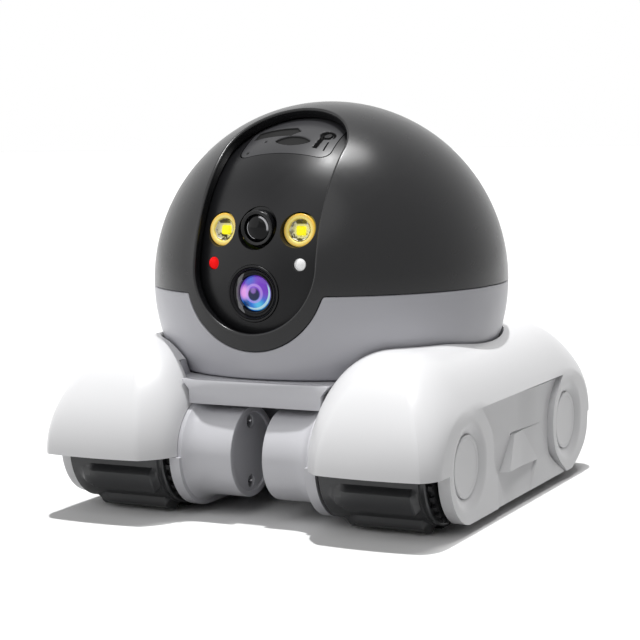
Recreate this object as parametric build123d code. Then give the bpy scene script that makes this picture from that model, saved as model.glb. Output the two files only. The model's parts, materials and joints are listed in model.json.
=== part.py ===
from build123d import *
import os
from math import acos, asin, cos, degrees, pi, radians, sin, sqrt, tan

# A small tracked robot with a turning ball head that carries a tilting camera eye.
# Millimetres, Z up, front towards -Y, floor at Z = 0, origin midway between the axles.

# Running gear
AXLE_Z = 16.3
WHEELBASE = 73.6
LUG_HEIGHT = 2.0
BELT_THICKNESS = 1.8
BELT_IN_X = 22.4
BELT_OUT_X = 48.6
LUG_COUNT = 30
FLANGE_TEETH = 28
WHEEL_GAP = 0.35
ROLLER_R = 4.6
AXLE_R = 2.0
BORE_GAP = 0.06

# Barrel shaped drive motor housings
BARREL_R = 11.45
BARREL_END_X = 4.35
BARREL_WALL = 1.5
BARREL_FLANGE = 1.5
CAP_RECESS = 0.65
CAP_THICKNESS = 1.4
GEARBOX_R = 7.4
GEARBOX_REACH = 9.6

# Side frames and tub
FRAME_IN_X = 17.4
FRAME_OUT_X = 20.2
RING_R = 14.3
TUB_AHEAD_GAP = 1.25
TUB_OVERHANG = 13.2
TUB_FLOOR_Z = 5.5
WALL = 1.6
DECK_TOP_Z = 35.0
DECK_THICKNESS = 1.8
FASCIA_OVERHANG = 5.2
FASCIA_LOW_Z = 28.5

# Pod covers over the tracks
POD_IN_X = 18.5
POD_OUT_X = 54.1
POD_OVERHANG = 23.2
POD_WALL = 2.0
POD_SIDE_WALL = 3.1
POD_SHOULDER_R = 13.0
POD_INNER_SHOULDER_R = 14.5
POD_NOSE_R = 26.9
POD_OUTER_CORNER = 7.7
POD_INNER_CORNER = 11.0
POD_BOW = 2.5
POD_CREASE_IN = 5.5
POD_CREASE_OUT = 4.4
SIDE_RING_R = 15.4
SIDE_BOTTOM_Z = 2.3
PANEL_TOP_Z = 29.3
PANEL_DEPTH = 2.1
HUB_CAP_R = 7.67
BOWL_RISE = 3.8
BOWL_RIM = 2.54

# Head and eye, both centred on one point
HEAD_Y = 0.7
HEAD_R = 47.0
HEAD_CUT = 21.5
HEAD_CLEAR = 0.6
SHELL = 2.6
SEAM_DROP = 0.3
SEAM_GAP = 0.1
HEAD_LIFT = 0.3
FLOOR_THICKNESS = 1.7
EYE_GAP = 0.4
EYE_WALL = 2.0
EYE_HALF = 19.0
SLOT_HALF = 16.6
SLOT_LOW_LAT = 8.9
SLOT_HIGH_LAT = 52.9
TONGUE_R = 19.4
TONGUE_RISE = 5.1
POST_R = 7.0
POST_BORE_R = 4.0
TRUNNION_R = 3.0
CHEEK_R = 9.0

# Face of the eye, depths counted inwards from the front of its ball
BOARD_DEPTH = 13.6
LENS_R = 7.05
LENS_RING = 1.1
LENS_SEAT = 5.5
LAMP_X = 10.6
LAMP_RISE = 15.5
LAMP_R = 4.3
LAMP_DEPTH = 6.2
CHIP = 2.8
SENSOR_RISE = 15.9
SENSOR_R = 5.3
SENSOR_BARREL_R = 4.4
SENSOR_DEPTH = 2.6
DOT_X = 11.9
DOT_RISE = 7.15
DOT_R = 1.6
PLATE_HALF = 12.8
PLATE_LOW_LAT = 50.5
PLATE_HIGH_LAT = 80.0
FIT = 0.1

# Gears
MODULE = 0.6
PINION_TEETH = 12
PAN_TEETH = 42
TILT_TEETH = 48
BACKLASH = 0.12

# Everything below follows from the sizes above
FRONT_Y = -WHEELBASE / 2
REAR_Y = WHEELBASE / 2
TUB_FRONT_Y = FRONT_Y + BARREL_R + BARREL_FLANGE + TUB_AHEAD_GAP
TUB_REAR_Y = REAR_Y + TUB_OVERHANG
FASCIA_Y = FRONT_Y - FASCIA_OVERHANG
POD_END_Y = REAR_Y + POD_OVERHANG
POD_TOP_Z = AXLE_Z + POD_NOSE_R
MOTOR_R = BARREL_R - BARREL_WALL - 0.35
CAP_SCREW_R = BARREL_R - BARREL_WALL - 2.35
GEARBOX_END_X = FRAME_IN_X + GEARBOX_REACH
BELT_R = AXLE_Z - LUG_HEIGHT
BELT_BORE_R = BELT_R - BELT_THICKNESS
WHEEL_R = BELT_BORE_R - WHEEL_GAP
BORE_R = AXLE_R + BORE_GAP
DECK_UNDER_Z = DECK_TOP_Z - DECK_THICKNESS
POD_INNER_X = POD_OUT_X - POD_SIDE_WALL
HEAD_Z = DECK_TOP_Z + HEAD_LIFT + HEAD_CUT
BOWL_R = sqrt((HEAD_R + HEAD_CLEAR) ** 2 - (HEAD_CUT + HEAD_LIFT - BOWL_RISE) ** 2) + BOWL_RIM
SHELL_R = HEAD_R - SHELL
EYE_R = SHELL_R - EYE_GAP
BOARD_Y = BOARD_DEPTH - EYE_R
FLOOR_LOW = -HEAD_CUT
FLOOR_HIGH = FLOOR_LOW + FLOOR_THICKNESS
CHIN_Z = FLOOR_HIGH + 0.5
PAN_CENTRES = MODULE * (PAN_TEETH + PINION_TEETH) / 2
TILT_CENTRES = MODULE * (TILT_TEETH + PINION_TEETH) / 2
TILT_PINION_Y = TILT_CENTRES * cos(radians(30))
TILT_PINION_Z = -TILT_CENTRES * sin(radians(30))
CHEEK_IN = EYE_HALF - 1.8
BRACKET_IN = EYE_HALF + 0.4
BRACKET_OUT = BRACKET_IN + 2.8
GEAR_IN = BRACKET_OUT + 0.5
GEAR_OUT = GEAR_IN + 2.8
EYE_BACK = -2.0
PAN_GEAR_Z = 26.2
PAN_GEAR_TALL = 3.0


def block(x0, x1, y0, y1, z0, z1):
    return Pos((x0 + x1) / 2, (y0 + y1) / 2, (z0 + z1) / 2) * Box(x1 - x0, y1 - y0, z1 - z0)


def rod_x(x0, x1, r, y, z):
    return Pos((x0 + x1) / 2, y, z) * Rot(0, 90, 0) * Cylinder(r, x1 - x0)


def rod_y(y0, y1, r, x, z):
    return Pos(x, (y0 + y1) / 2, z) * Rot(90, 0, 0) * Cylinder(r, y1 - y0)


def rod_z(z0, z1, r, x, y):
    return Pos(x, y, (z0 + z1) / 2) * Cylinder(r, z1 - z0)


def tube_x(x0, x1, r, bore, y, z):
    return rod_x(x0, x1, r, y, z) - rod_x(x0 - 1, x1 + 1, bore, y, z)


def slab_x(x0, x1, sketch):
    # A sketch whose axes are world Y and Z, thickened from x0 to x1
    plane = Plane(origin=(x0, 0, 0), x_dir=(0, 1, 0), z_dir=(1, 0, 0))
    return extrude(plane * sketch, amount=x1 - x0)


def mirrored(part):
    return mirror(part, about=Plane.YZ)


def to_head(part):
    return Pos(0, HEAD_Y, HEAD_Z) * part


def radial_plane(lat, x=0.0):
    # Plane through the head centre whose normal looks out of the face at this latitude
    c, s = cos(radians(lat)), sin(radians(lat))
    return Plane(origin=(x, 0, 0), x_dir=(1, 0, 0), z_dir=(0, -c, s))


# Gear outline: involute flanks sampled by formula, tips and roots joined by short lines
def gear_outline(teeth, module):
    pitch = module * teeth / 2
    tip = pitch + module
    root = pitch - 1.2 * module
    base = pitch * cos(radians(20))
    start = max(base, root)
    half_pitch = pi / (2 * teeth) - BACKLASH / (2 * pitch)
    inv_pitch = tan(radians(20)) - radians(20)

    def half_angle(r):
        a = acos(min(1.0, base / r))
        return half_pitch + inv_pitch - (tan(a) - a)

    radii = [start + (tip - start) * k / 3 for k in range(4)]
    points = []
    for n in range(teeth):
        mid = 2 * pi * n / teeth
        flank = [(r, half_angle(r)) for r in radii]
        if root < start:
            flank.insert(0, (root, half_angle(start)))
        for r, a in flank:
            points.append((r * cos(mid - a), r * sin(mid - a)))
        for r, a in reversed(flank):
            points.append((r * cos(mid + a), r * sin(mid + a)))
    return make_face(Polyline(*points, close=True))


def gear(teeth, tall, bore):
    wheel = extrude(gear_outline(teeth, MODULE), amount=tall)
    return wheel - Pos(0, 0, tall / 2) * Cylinder(bore, tall + 2)


def round_stadium(r):
    # Straight runs joined by round ends over the two axles, in world Y and Z
    return Pos(0, AXLE_Z) * (Rectangle(WHEELBASE, 2 * r)
                             + Pos(FRONT_Y, 0) * Circle(r) + Pos(REAR_Y, 0) * Circle(r))


# Belt path: place and direction of a point a given way along the outer loop
def on_belt(way):
    arc = pi * BELT_R
    total = 2 * WHEELBASE + 2 * arc
    way = way % total
    if way < WHEELBASE:
        return REAR_Y - way, AXLE_Z - BELT_R, -90.0
    way -= WHEELBASE
    if way < arc:
        turn = degrees(way / BELT_R)
        a = radians(-90 - turn)
        return FRONT_Y + BELT_R * cos(a), AXLE_Z + BELT_R * sin(a), -90.0 - turn
    way -= arc
    if way < WHEELBASE:
        return FRONT_Y + way, AXLE_Z + BELT_R, 90.0
    way -= WHEELBASE
    turn = degrees(way / BELT_R)
    a = radians(90 - turn)
    return REAR_Y + BELT_R * cos(a), AXLE_Z + BELT_R * sin(a), 90.0 - turn


def lug():
    # One tread bar standing on X = 0, pointing along +X, long way along Y
    half = (BELT_OUT_X - BELT_IN_X) / 2 - 1.6
    foot = Plane.YZ.offset(-0.5) * Rectangle(2 * half, 5.6)
    tip = Plane.YZ.offset(LUG_HEIGHT) * Rectangle(2 * half - 3.2, 3.4)
    return loft([foot, tip])


def track():
    belt = slab_x(BELT_IN_X, BELT_OUT_X, round_stadium(BELT_R) - round_stadium(BELT_BORE_R))
    edges = belt.faces().filter_by(Axis.X).edges()
    outer = [e for e in edges if e.center().Z < AXLE_Z - BELT_R + 0.5 or e.center().Z > AXLE_Z + BELT_R - 0.5
             or abs(e.center().Y) > REAR_Y + BELT_R * 0.5]
    belt = chamfer([e for e in outer if on_outer(e)], 1.1)
    total = 2 * WHEELBASE + 2 * pi * BELT_R
    mid = (BELT_IN_X + BELT_OUT_X) / 2
    bars = []
    for n in range(LUG_COUNT):
        y, z, turn = on_belt(WHEELBASE + total * n / LUG_COUNT)
        bars.append(Pos(mid, y, z) * Rot(turn, 0, 0) * Rot(0, 0, 90) * lug())
    return belt + bars


def on_outer(edge):
    c = edge.position_at(0.5)
    y = max(abs(c.Y) - REAR_Y, 0)
    return sqrt(y * y + (c.Z - AXLE_Z) ** 2) > BELT_R - 0.1


def flange(x0, x1, teeth):
    # Edge disc seen beside the belt, with square teeth round the driving wheel
    tip = BELT_R - 0.8
    disc = rod_x(x0, x1, tip - 1.0 if teeth else tip, 0, 0)
    if teeth:
        for n in range(teeth):
            bar = block(x0, x1, -0.6, 0.6, tip - 1.6, tip)
            disc += Rot(360 * n / teeth, 0, 0) * bar
    return disc


def track_wheel(teeth):
    # Solid drum between two edge flanges, with a shallow ring groove in its outer face
    inner, outer = BELT_IN_X - 1.5, BELT_OUT_X + 1.4
    body = rod_x(inner + 0.2, outer - 0.2, WHEEL_R, 0, 0)
    body += flange(inner, inner + 1.1, teeth) + flange(outer - 1.0, outer, teeth)
    return body - tube_x(outer - 2.0, outer + 1, WHEEL_R - 1.8, 4.2, 0, 0)


def sprocket():
    body = track_wheel(FLANGE_TEETH) - rod_x(10.0, GEARBOX_END_X + 0.8, GEARBOX_R + 0.8, 0, 0)
    body += rod_x(GEARBOX_END_X - 2.6, POD_OUT_X - 1.6, AXLE_R, 0, 0)
    return Pos(0, FRONT_Y, AXLE_Z) * body


def idler():
    body = track_wheel(0) - rod_x(0, POD_OUT_X, BORE_R, 0, 0)
    return Pos(0, REAR_Y, AXLE_Z) * body


ROLLER_Z = AXLE_Z - BELT_BORE_R + 0.3 + ROLLER_R


def road_roller():
    body = tube_x(BELT_IN_X + 2.0, BELT_OUT_X - 2.0, ROLLER_R, BORE_R, 0, 0)
    body -= tube_x(BELT_IN_X + 10, BELT_OUT_X - 10, ROLLER_R + 1, ROLLER_R - 0.8, 0, 0)
    return Pos(0, 0, ROLLER_Z) * body


def axle_pins():
    rear = rod_x(FRAME_IN_X, POD_OUT_X - 1.6, AXLE_R, REAR_Y, AXLE_Z)
    middle = rod_x(FRAME_IN_X, POD_INNER_X, AXLE_R, 0, ROLLER_Z)
    return rear + middle


def side_frame():
    low = slab_x(FRAME_IN_X, FRAME_OUT_X, round_stadium(RING_R))
    low -= block(0, 40, -80, TUB_FRONT_Y, AXLE_Z - 0.2, 60)
    low -= block(0, 40, TUB_REAR_Y, 80, AXLE_Z - 0.2, 60)
    high = block(FRAME_IN_X, FRAME_OUT_X, TUB_FRONT_Y, TUB_REAR_Y, AXLE_Z, DECK_UNDER_Z - 0.2)
    ring = rod_x(FRAME_IN_X, FRAME_OUT_X, BARREL_R + BARREL_FLANGE + 0.2, FRONT_Y, AXLE_Z)
    body = low + high + ring
    body -= rod_x(0, 40, GEARBOX_R + 0.4, FRONT_Y, AXLE_Z)
    body -= rod_x(0, 40, AXLE_R, REAR_Y, AXLE_Z)
    body -= rod_x(0, 40, AXLE_R, 0, ROLLER_Z)
    return body


def motor_housing():
    body = rod_x(BARREL_END_X, FRAME_IN_X, BARREL_R, FRONT_Y, AXLE_Z)
    body += rod_x(FRAME_IN_X - 1.5, FRAME_IN_X, BARREL_R + BARREL_FLANGE, FRONT_Y, AXLE_Z)
    body -= rod_x(0, 30, BARREL_R - BARREL_WALL, FRONT_Y, AXLE_Z)
    return body


def motor_cap():
    x0 = BARREL_END_X + CAP_RECESS
    body = rod_x(x0, x0 + CAP_THICKNESS, BARREL_R - BARREL_WALL, FRONT_Y, AXLE_Z)
    for side in (-1, 1):
        body -= rod_x(x0 - 1, x0 + 0.9, 1.7, FRONT_Y, AXLE_Z + side * CAP_SCREW_R)
    return body


def motor_cap_screws():
    x0 = BARREL_END_X + CAP_RECESS + 0.3
    screws = Part()
    for side in (-1, 1):
        head = rod_x(x0, x0 + 0.6, 1.5, FRONT_Y, AXLE_Z + side * CAP_SCREW_R)
        head -= block(x0 - 1, x0 + 0.25, FRONT_Y - 1.1, FRONT_Y + 1.1,
                      AXLE_Z + side * CAP_SCREW_R - 0.2, AXLE_Z + side * CAP_SCREW_R + 0.2)
        screws += head
    return screws + mirrored(screws)


def drive_motor():
    x0 = BARREL_END_X + CAP_RECESS + CAP_THICKNESS + 0.3
    can = rod_x(x0, FRAME_IN_X - 0.2, MOTOR_R, FRONT_Y, AXLE_Z)
    gearbox = rod_x(FRAME_IN_X - 0.4, GEARBOX_END_X, GEARBOX_R, FRONT_Y, AXLE_Z)
    return can + gearbox - rod_x(GEARBOX_END_X - 3, GEARBOX_END_X + 3, BORE_R, FRONT_Y, AXLE_Z)


# Pod cover: one outline carried over the top and round both ends, drawn once and shrunk
# for the hollow, with rounder shoulders cut along the top
def pod_profile(x0, x1, reach, inset):
    # Half outline standing on the axle line: straight sides, two corners and a bowed end
    start, near = reach - POD_INNER_CORNER + inset, reach - POD_BOW
    wide = POD_CREASE_IN
    edge = Polyline((x1, 0), (x0, 0), (x0, start))
    edge += ThreePointArc((x0, start), (x0 + 0.24 * wide, start + 0.6 * (near - start)), (x0 + wide, near))
    edge += ThreePointArc((x0 + wide, near), ((x0 + x1) / 2, reach), (x1 - POD_CREASE_OUT, near))
    start, wide = reach - POD_OUTER_CORNER + inset, POD_CREASE_OUT
    edge += ThreePointArc((x1 - wide, near), (x1 - 0.22 * wide, start + 0.62 * (near - start)), (x1, start))
    edge += Polyline((x1, start), (x1, 0))
    return make_face(edge)


def pod_shoulders(x0, x1, t, bottom):
    # Seen from the front: upright sides and quarter rounds up to the crown
    top = POD_TOP_Z - t
    r0, r1 = POD_INNER_SHOULDER_R - t, POD_SHOULDER_R - t
    edge = Polyline((x0, bottom), (x0, top - r0)) + RadiusArc((x0, top - r0), (x0 + r0, top), r0)
    edge += Polyline((x0 + r0, top), (x1 - r1, top)) + RadiusArc((x1 - r1, top), (x1, top - r1), r1)
    edge += Polyline((x1, top - r1), (x1, bottom), (x0, bottom))
    return make_face(edge)


def pod_body(t, side_t, bottom):
    x0, x1 = POD_IN_X + t, POD_OUT_X - side_t
    turn_y = POD_END_Y - POD_NOSE_R
    half = pod_profile(x0, x1, POD_NOSE_R - t, t)
    upright = Plane(origin=(0, -turn_y, AXLE_Z), x_dir=(1, 0, 0), z_dir=(0, -1, 0)) * half
    body = extrude(upright, amount=-2 * turn_y)
    front = revolve(upright, axis=Axis((0, -turn_y, AXLE_Z), (1, 0, 0)), revolution_arc=90)
    flat = Pos(0, turn_y) * half
    plan = flat + mirror(flat, about=Plane.XZ) + Pos((x0 + x1) / 2, 0) * Rectangle(x1 - x0, 2 * turn_y)
    body += front + mirror(front, about=Plane.XZ)
    body += Pos(0, 0, bottom) * extrude(plan, amount=AXLE_Z - bottom)
    across = extrude(Plane.XZ * pod_shoulders(x0, x1, t, bottom), amount=POD_END_Y + 10, both=True)
    return body & across


def side_outline(grow=0.0):
    # Low outline of the outer side wall: a ring round each axle and the stretch between
    r = SIDE_RING_R + grow
    shape = Pos(FRONT_Y, AXLE_Z) * Circle(r) + Pos(REAR_Y, AXLE_Z) * Circle(r)
    shape += Pos(0, AXLE_Z) * Rectangle(WHEELBASE, 2 * r)
    cut = Pos(0, SIDE_BOTTOM_Z - 20) * Rectangle(300, 40)
    return shape - cut


def panel_outline(inset=0.0):
    # Sunk stretch between the two rings
    top = PANEL_TOP_Z - inset
    low = SIDE_BOTTOM_Z
    shape = Pos(0, (top + low) / 2) * Rectangle(WHEELBASE - 6.0, top - low)
    for y in (FRONT_Y, REAR_Y):
        shape -= Pos(y, AXLE_Z) * Circle(SIDE_RING_R + inset)
    return shape


def pod_cover():
    shell = pod_body(0, 0, SIDE_BOTTOM_Z) - pod_body(POD_WALL, POD_SIDE_WALL, SIDE_BOTTOM_Z - 5)
    lower = block(0, POD_INNER_X, -80, 80, 0, AXLE_Z)
    keep = slab_x(POD_INNER_X, POD_OUT_X, side_outline())
    skirt = shell & block(0, 80, -80, 80, 0, AXLE_Z) & keep
    body = (shell & block(0, 80, -80, 80, AXLE_Z, 80)) + skirt
    body -= lower
    # Room for the barrel, the tub, the deck and the head bowl
    body -= rod_x(0, POD_INNER_X - 5, BARREL_R + BARREL_FLANGE + 0.4, FRONT_Y, AXLE_Z)
    body -= block(0, FRAME_OUT_X + 0.4, TUB_FRONT_Y - 0.1, TUB_REAR_Y + 0.3, 0, DECK_TOP_Z + 0.2)
    body -= rod_z(DECK_UNDER_Z - 0.3, 80, BOWL_R, 0, HEAD_Y)
    # Side details: sunk panel, hub openings and a shallow dish round each hub
    body -= slab_x(POD_INNER_X - 0.5, POD_OUT_X + 5, panel_outline())
    for y in (FRONT_Y, REAR_Y):
        body -= rod_x(POD_INNER_X - 1, POD_OUT_X + 5, HUB_CAP_R + FIT, y, AXLE_Z)
        body -= Pos(POD_OUT_X + 5.2, y, AXLE_Z) * Rot(0, 90, 0) * Torus(11.2, 6.0)
    return body


def side_insert():
    x0 = POD_INNER_X
    x1 = POD_OUT_X - PANEL_DEPTH
    plate = slab_x(x0, x1, panel_outline(FIT))
    plate -= rod_x(0, 80, AXLE_R, 0, ROLLER_Z)
    plate += rod_x(x0, x1, AXLE_R + 0.5, 0, ROLLER_Z)
    low = make_face(Polyline((-13.0, 10.6), (9.6, 10.6), (3.6, 18.8), (-4.4, 18.8), close=True))
    high = make_face(Polyline((-9.4, 10.9), (9.0, 10.9), (3.2, 18.5), (-2.4, 18.5), close=True))
    foot = Plane(origin=(x1 - 0.3, 0, 0), x_dir=(0, 1, 0), z_dir=(1, 0, 0)) * low
    face = Plane(origin=(POD_OUT_X - 0.1, 0, 0), x_dir=(0, 1, 0), z_dir=(1, 0, 0)) * high
    return plate + loft([foot, face])


def hub_caps():
    caps = Part()
    for y in (FRONT_Y, REAR_Y):
        cap = rod_x(POD_INNER_X, POD_OUT_X - 0.1, HUB_CAP_R, y, AXLE_Z)
        cap -= rod_x(0, POD_OUT_X - 1.4, BORE_R, y, AXLE_Z)
        caps += cap
    return caps


def deck():
    plate = rod_z(DECK_UNDER_Z, DECK_TOP_Z, BOWL_R - 0.4, 0, HEAD_Y)
    half = POD_IN_X - 0.3
    plate += block(-half, half, FASCIA_Y, TUB_REAR_Y, DECK_UNDER_Z, DECK_TOP_Z)
    rim = rod_z(DECK_TOP_Z - 0.5, DECK_TOP_Z + BOWL_RISE, BOWL_R - 0.4, 0, HEAD_Y)
    rim -= to_head(Sphere(HEAD_R + HEAD_CLEAR))
    rim -= block(-BOWL_R / 2, BOWL_R / 2, -80, 80, 0, 80)
    boss = rod_z(DECK_TOP_Z - 5.0, DECK_TOP_Z, POST_R + 2.0, 0, HEAD_Y)
    body = plate + rim + boss
    body -= block(-80, 80, -80, FASCIA_Y, 0, 80)
    body -= rod_z(0, 80, POST_R + BORE_GAP, 0, HEAD_Y)
    return body


def front_fascia():
    # Bar over the barrels with notched ends, joined to the deck by a shelf
    half = POD_IN_X - 0.3
    z0, z1 = FASCIA_LOW_Z, DECK_TOP_Z - 0.2
    face = make_face(Polyline((-half + 1.2, z0), (half - 1.2, z0), (half - 1.2, z1 - 2.4), (half, z1),
                              (-half, z1), (-half + 1.2, z1 - 2.4), close=True))
    bar = extrude(Plane.XZ.offset(-FASCIA_Y) * face, amount=1.8)
    ribs = block(-12, 12, FASCIA_Y - 0.1, FASCIA_Y + 1.2, z0, DECK_UNDER_Z)
    return bar + ribs


def chassis_tub():
    half = FRAME_IN_X - 0.2
    outer = block(-half, half, TUB_FRONT_Y, TUB_REAR_Y, TUB_FLOOR_Z, DECK_UNDER_Z)
    inner = block(-half + WALL, half - WALL, TUB_FRONT_Y + WALL, TUB_REAR_Y - WALL, TUB_FLOOR_Z + WALL, 60)
    body = outer - inner
    # Battery door opening, speaker holes, socket and button openings
    body -= block(-DOOR_HALF, DOOR_HALF, DOOR_Y0, DOOR_Y1, 0, TUB_FLOOR_Z + WALL + 1)
    for n in range(6):
        a = 2 * pi * n / 6
        body -= rod_z(0, 10, 1.0, 5 * cos(a), SPEAKER_Y + 5 * sin(a))
    body -= block(-4.6, 4.6, 40, 60, USB_Z - 1.75, USB_Z + 1.75)
    body -= rod_y(40, 60, BUTTON_R + 0.3, 0, BUTTON_Z)
    return body


DOOR_HALF = 12.0
DOOR_LONG = 26.0
DOOR_Y0 = TUB_FRONT_Y + WALL + 2.0
DOOR_Y1 = DOOR_Y0 + DOOR_LONG
SPEAKER_Y = TUB_REAR_Y - 14.0
PAN_MOTOR_R = 8.0
PAN_PINION_Y = HEAD_Y + PAN_CENTRES
USB_Z = 14.5
BUTTON_Z = 25.0
BUTTON_R = 3.5


def battery_door():
    plate = block(-DOOR_HALF + FIT, DOOR_HALF - FIT, DOOR_Y0 + FIT, DOOR_Y1 - FIT, TUB_FLOOR_Z, TUB_FLOOR_Z + WALL)
    for x in (-9.0, 9.0):
        plate -= rod_z(0, 30, 0.9, x, DOOR_Y1 - 2.6)
        plate -= rod_z(0, TUB_FLOOR_Z + 0.9, 1.8, x, DOOR_Y1 - 2.6)
    return plate


def door_screws():
    screws = Part()
    for x in (-9.0, 9.0):
        head = rod_z(TUB_FLOOR_Z + 0.1, TUB_FLOOR_Z + 0.85, 1.6, x, DOOR_Y1 - 2.6)
        head += rod_z(TUB_FLOOR_Z + 0.8, TUB_FLOOR_Z + 3.4, 0.85, x, DOOR_Y1 - 2.6)
        head -= block(x - 1.2, x + 1.2, DOOR_Y1 - 2.85, DOOR_Y1 - 2.35, 0, TUB_FLOOR_Z + 0.4)
        screws += head
    return screws


def battery_pack():
    # Two short round cells side by side in a sleeve
    z = TUB_FLOOR_Z + WALL + 0.2 + 5.6
    y1 = DOOR_Y1 - 5.4
    cells = Part()
    for x in (-5.7, 5.7):
        cells += rod_y(DOOR_Y0 + 0.6, y1, 5.5, x, z)
    sleeve = Part()
    for low in (z - 5.5, z + 4.5):
        sleeve += block(-5.7, 5.7, DOOR_Y0 + 2, y1 - 1.5, low, low + 1.0)
    return cells + sleeve + block(-1, 1, DOOR_Y0 + 2, y1 - 1.5, z - 5, z + 5)


def main_board():
    z = 20.4
    half = FRAME_IN_X - 0.2 - WALL - 0.6
    y0 = TUB_FRONT_Y + WALL + 0.6
    board = block(-half, half, y0, PAN_PINION_Y - PAN_MOTOR_R - 1.5, z, z + 1.2)
    board += block(-6, 6, y0 + 6.4, y0 + 16.4, z + 1.2, z + 2.4)
    board += block(8, 12, y0 + 3.4, y0 + 9.4, z + 1.2, z + 3.0)
    board += block(-12, -8.5, y0 + 12.4, y0 + 17.4, z + 1.2, z + 3.2)
    board += block(9, 13, y0 + 19.4, y0 + 24.4, z + 1.2, z + 3.6)
    return board


def speaker():
    z = TUB_FLOOR_Z + WALL
    body = rod_z(z, z + 2.0, 8.6, 0, SPEAKER_Y) + rod_z(z + 2.0, z + 4.6, 5.2, 0, SPEAKER_Y)
    return body


def usb_port():
    y1 = TUB_REAR_Y - 0.2
    body = block(-4.5, 4.5, y1 - 7.3, y1, USB_Z - 1.65, USB_Z + 1.65)
    body -= block(-4.1, 4.1, y1 - 6.3, y1 + 1, USB_Z - 1.25, USB_Z + 1.25)
    body += block(-3.3, 3.3, y1 - 6.3, y1 - 0.9, USB_Z - 0.35, USB_Z + 0.35)
    return body


def power_button():
    y1 = TUB_REAR_Y
    body = rod_y(y1 - WALL - 0.6, y1 + 1.2, BUTTON_R, 0, BUTTON_Z)
    body += rod_y(y1 - WALL - 1.6, y1 - WALL - 0.4, BUTTON_R + 0.9, 0, BUTTON_Z)
    body -= rod_y(y1 + 0.9, y1 + 2, 1.2, 0, BUTTON_Z) - rod_y(y1, y1 + 2, 0.8, 0, BUTTON_Z)
    return body


def pan_motor():
    can = rod_z(11.0, 23.6, PAN_MOTOR_R, 0, PAN_PINION_Y)
    can += rod_z(23.6, 24.6, 2.6, 0, PAN_PINION_Y)
    can += block(-11.5, 11.5, PAN_PINION_Y - 2.5, PAN_PINION_Y + 2.5, 22.0, 22.8)
    return can - rod_z(20, 30, 1.0 + BORE_GAP, 0, PAN_PINION_Y)


def pan_pinion():
    pinion = Rot(0, 0, -90) * gear(PINION_TEETH, PAN_GEAR_TALL + 0.4, 0.4)
    body = Pos(0, PAN_PINION_Y, PAN_GEAR_Z - 0.2) * pinion
    return body + rod_z(20.4, PAN_GEAR_Z + 2, 1.0, 0, PAN_PINION_Y)


def pan_gear():
    wheel = Rot(0, 0, 90 + (180 / PAN_TEETH)) * gear(PAN_TEETH, PAN_GEAR_TALL, POST_R)
    return Pos(0, HEAD_Y, PAN_GEAR_Z) * wheel


def turntable():
    low = FLOOR_LOW
    disc = rod_z(low, FLOOR_HIGH, sqrt(SHELL_R ** 2 - FLOOR_LOW ** 2) - 0.2, 0, 0)
    post = rod_z(PAN_GEAR_Z - 0.6 - HEAD_Z, low + 0.5, POST_R, 0, 0)
    body = disc + post - rod_z(-60, 0, POST_BORE_R, 0, 0)
    return to_head(body)


# Opening of the eye slot: a disc swept up the face between two latitudes
def slot_cutter():
    r0, r1 = 30.0, 60.0
    body = Part()
    for lat in (SLOT_LOW_LAT, SLOT_HIGH_LAT):
        body += radial_plane(lat) * Pos(0, 0, (r0 + r1) / 2) * Cylinder(SLOT_HALF, r1 - r0)
    c, s = cos(radians(SLOT_HIGH_LAT)), sin(radians(SLOT_HIGH_LAT))
    plane = Plane(origin=(0, 0, 0), x_dir=(1, 0, 0), z_dir=(0, -s, -c))
    face = plane * Pos(0, (r0 + r1) / 2) * Rectangle(2 * SLOT_HALF, r1 - r0)
    return body + revolve(face, axis=Axis.X, revolution_arc=SLOT_HIGH_LAT - SLOT_LOW_LAT)


def tongue(grow):
    body = rod_y(-60, -20, TONGUE_R + grow, 0, TONGUE_RISE)
    return body


def head_shell():
    return Sphere(HEAD_R) - Sphere(SHELL_R)


def upper_shell():
    shell = head_shell()
    seam = -SEAM_DROP
    top = shell & block(-60, 60, -60, 60, seam, 60)
    lip = shell & tongue(0) & block(-60, 60, -60, 0, FLOOR_LOW, seam)
    return to_head(top + lip - slot_cutter())


def lower_shell():
    seam = -SEAM_DROP - SEAM_GAP
    body = head_shell() & block(-60, 60, -60, 60, FLOOR_LOW, seam)
    return to_head(body - tongue(SEAM_GAP))


# Ball of the eye: a sphere band with a flat chin, its lower front corner rounded
def eye_ball(r, half, floor, corner):
    cz = floor + corner
    cy = -sqrt((r - corner) ** 2 - cz ** 2)
    ty, tz = cy * r / (r - corner), cz * r / (r - corner)
    a0 = radians(-90)
    mid_a = (a0 + (-pi + asin(-cz / (r - corner)))) / 2
    far = 1.4
    outline = (Polyline((EYE_BACK, 60), (EYE_BACK, floor), (cy, floor))
               + ThreePointArc((cy, floor), (cy + corner * cos(mid_a), cz + corner * sin(mid_a)), (ty, tz))
               + Polyline((ty, tz), (ty * far, tz * far), (ty * far, 60), (EYE_BACK, 60)))
    band = slab_x(-half, half, make_face(outline))
    return Sphere(r) & band


def plate_window(grow):
    mid = (PLATE_LOW_LAT + PLATE_HIGH_LAT) / 2
    long = 2 * EYE_R * sin(radians((PLATE_HIGH_LAT - PLATE_LOW_LAT) / 2))
    sketch = RectangleRounded(2 * (PLATE_HALF + grow), long + 2 * grow, 3.0)
    return extrude(radial_plane(mid) * Pos(0, 0, EYE_R - 6) * sketch, amount=12)


RESET_X = 8.9
RESET_LAT = 61.0
RESET_R = 1.4


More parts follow.
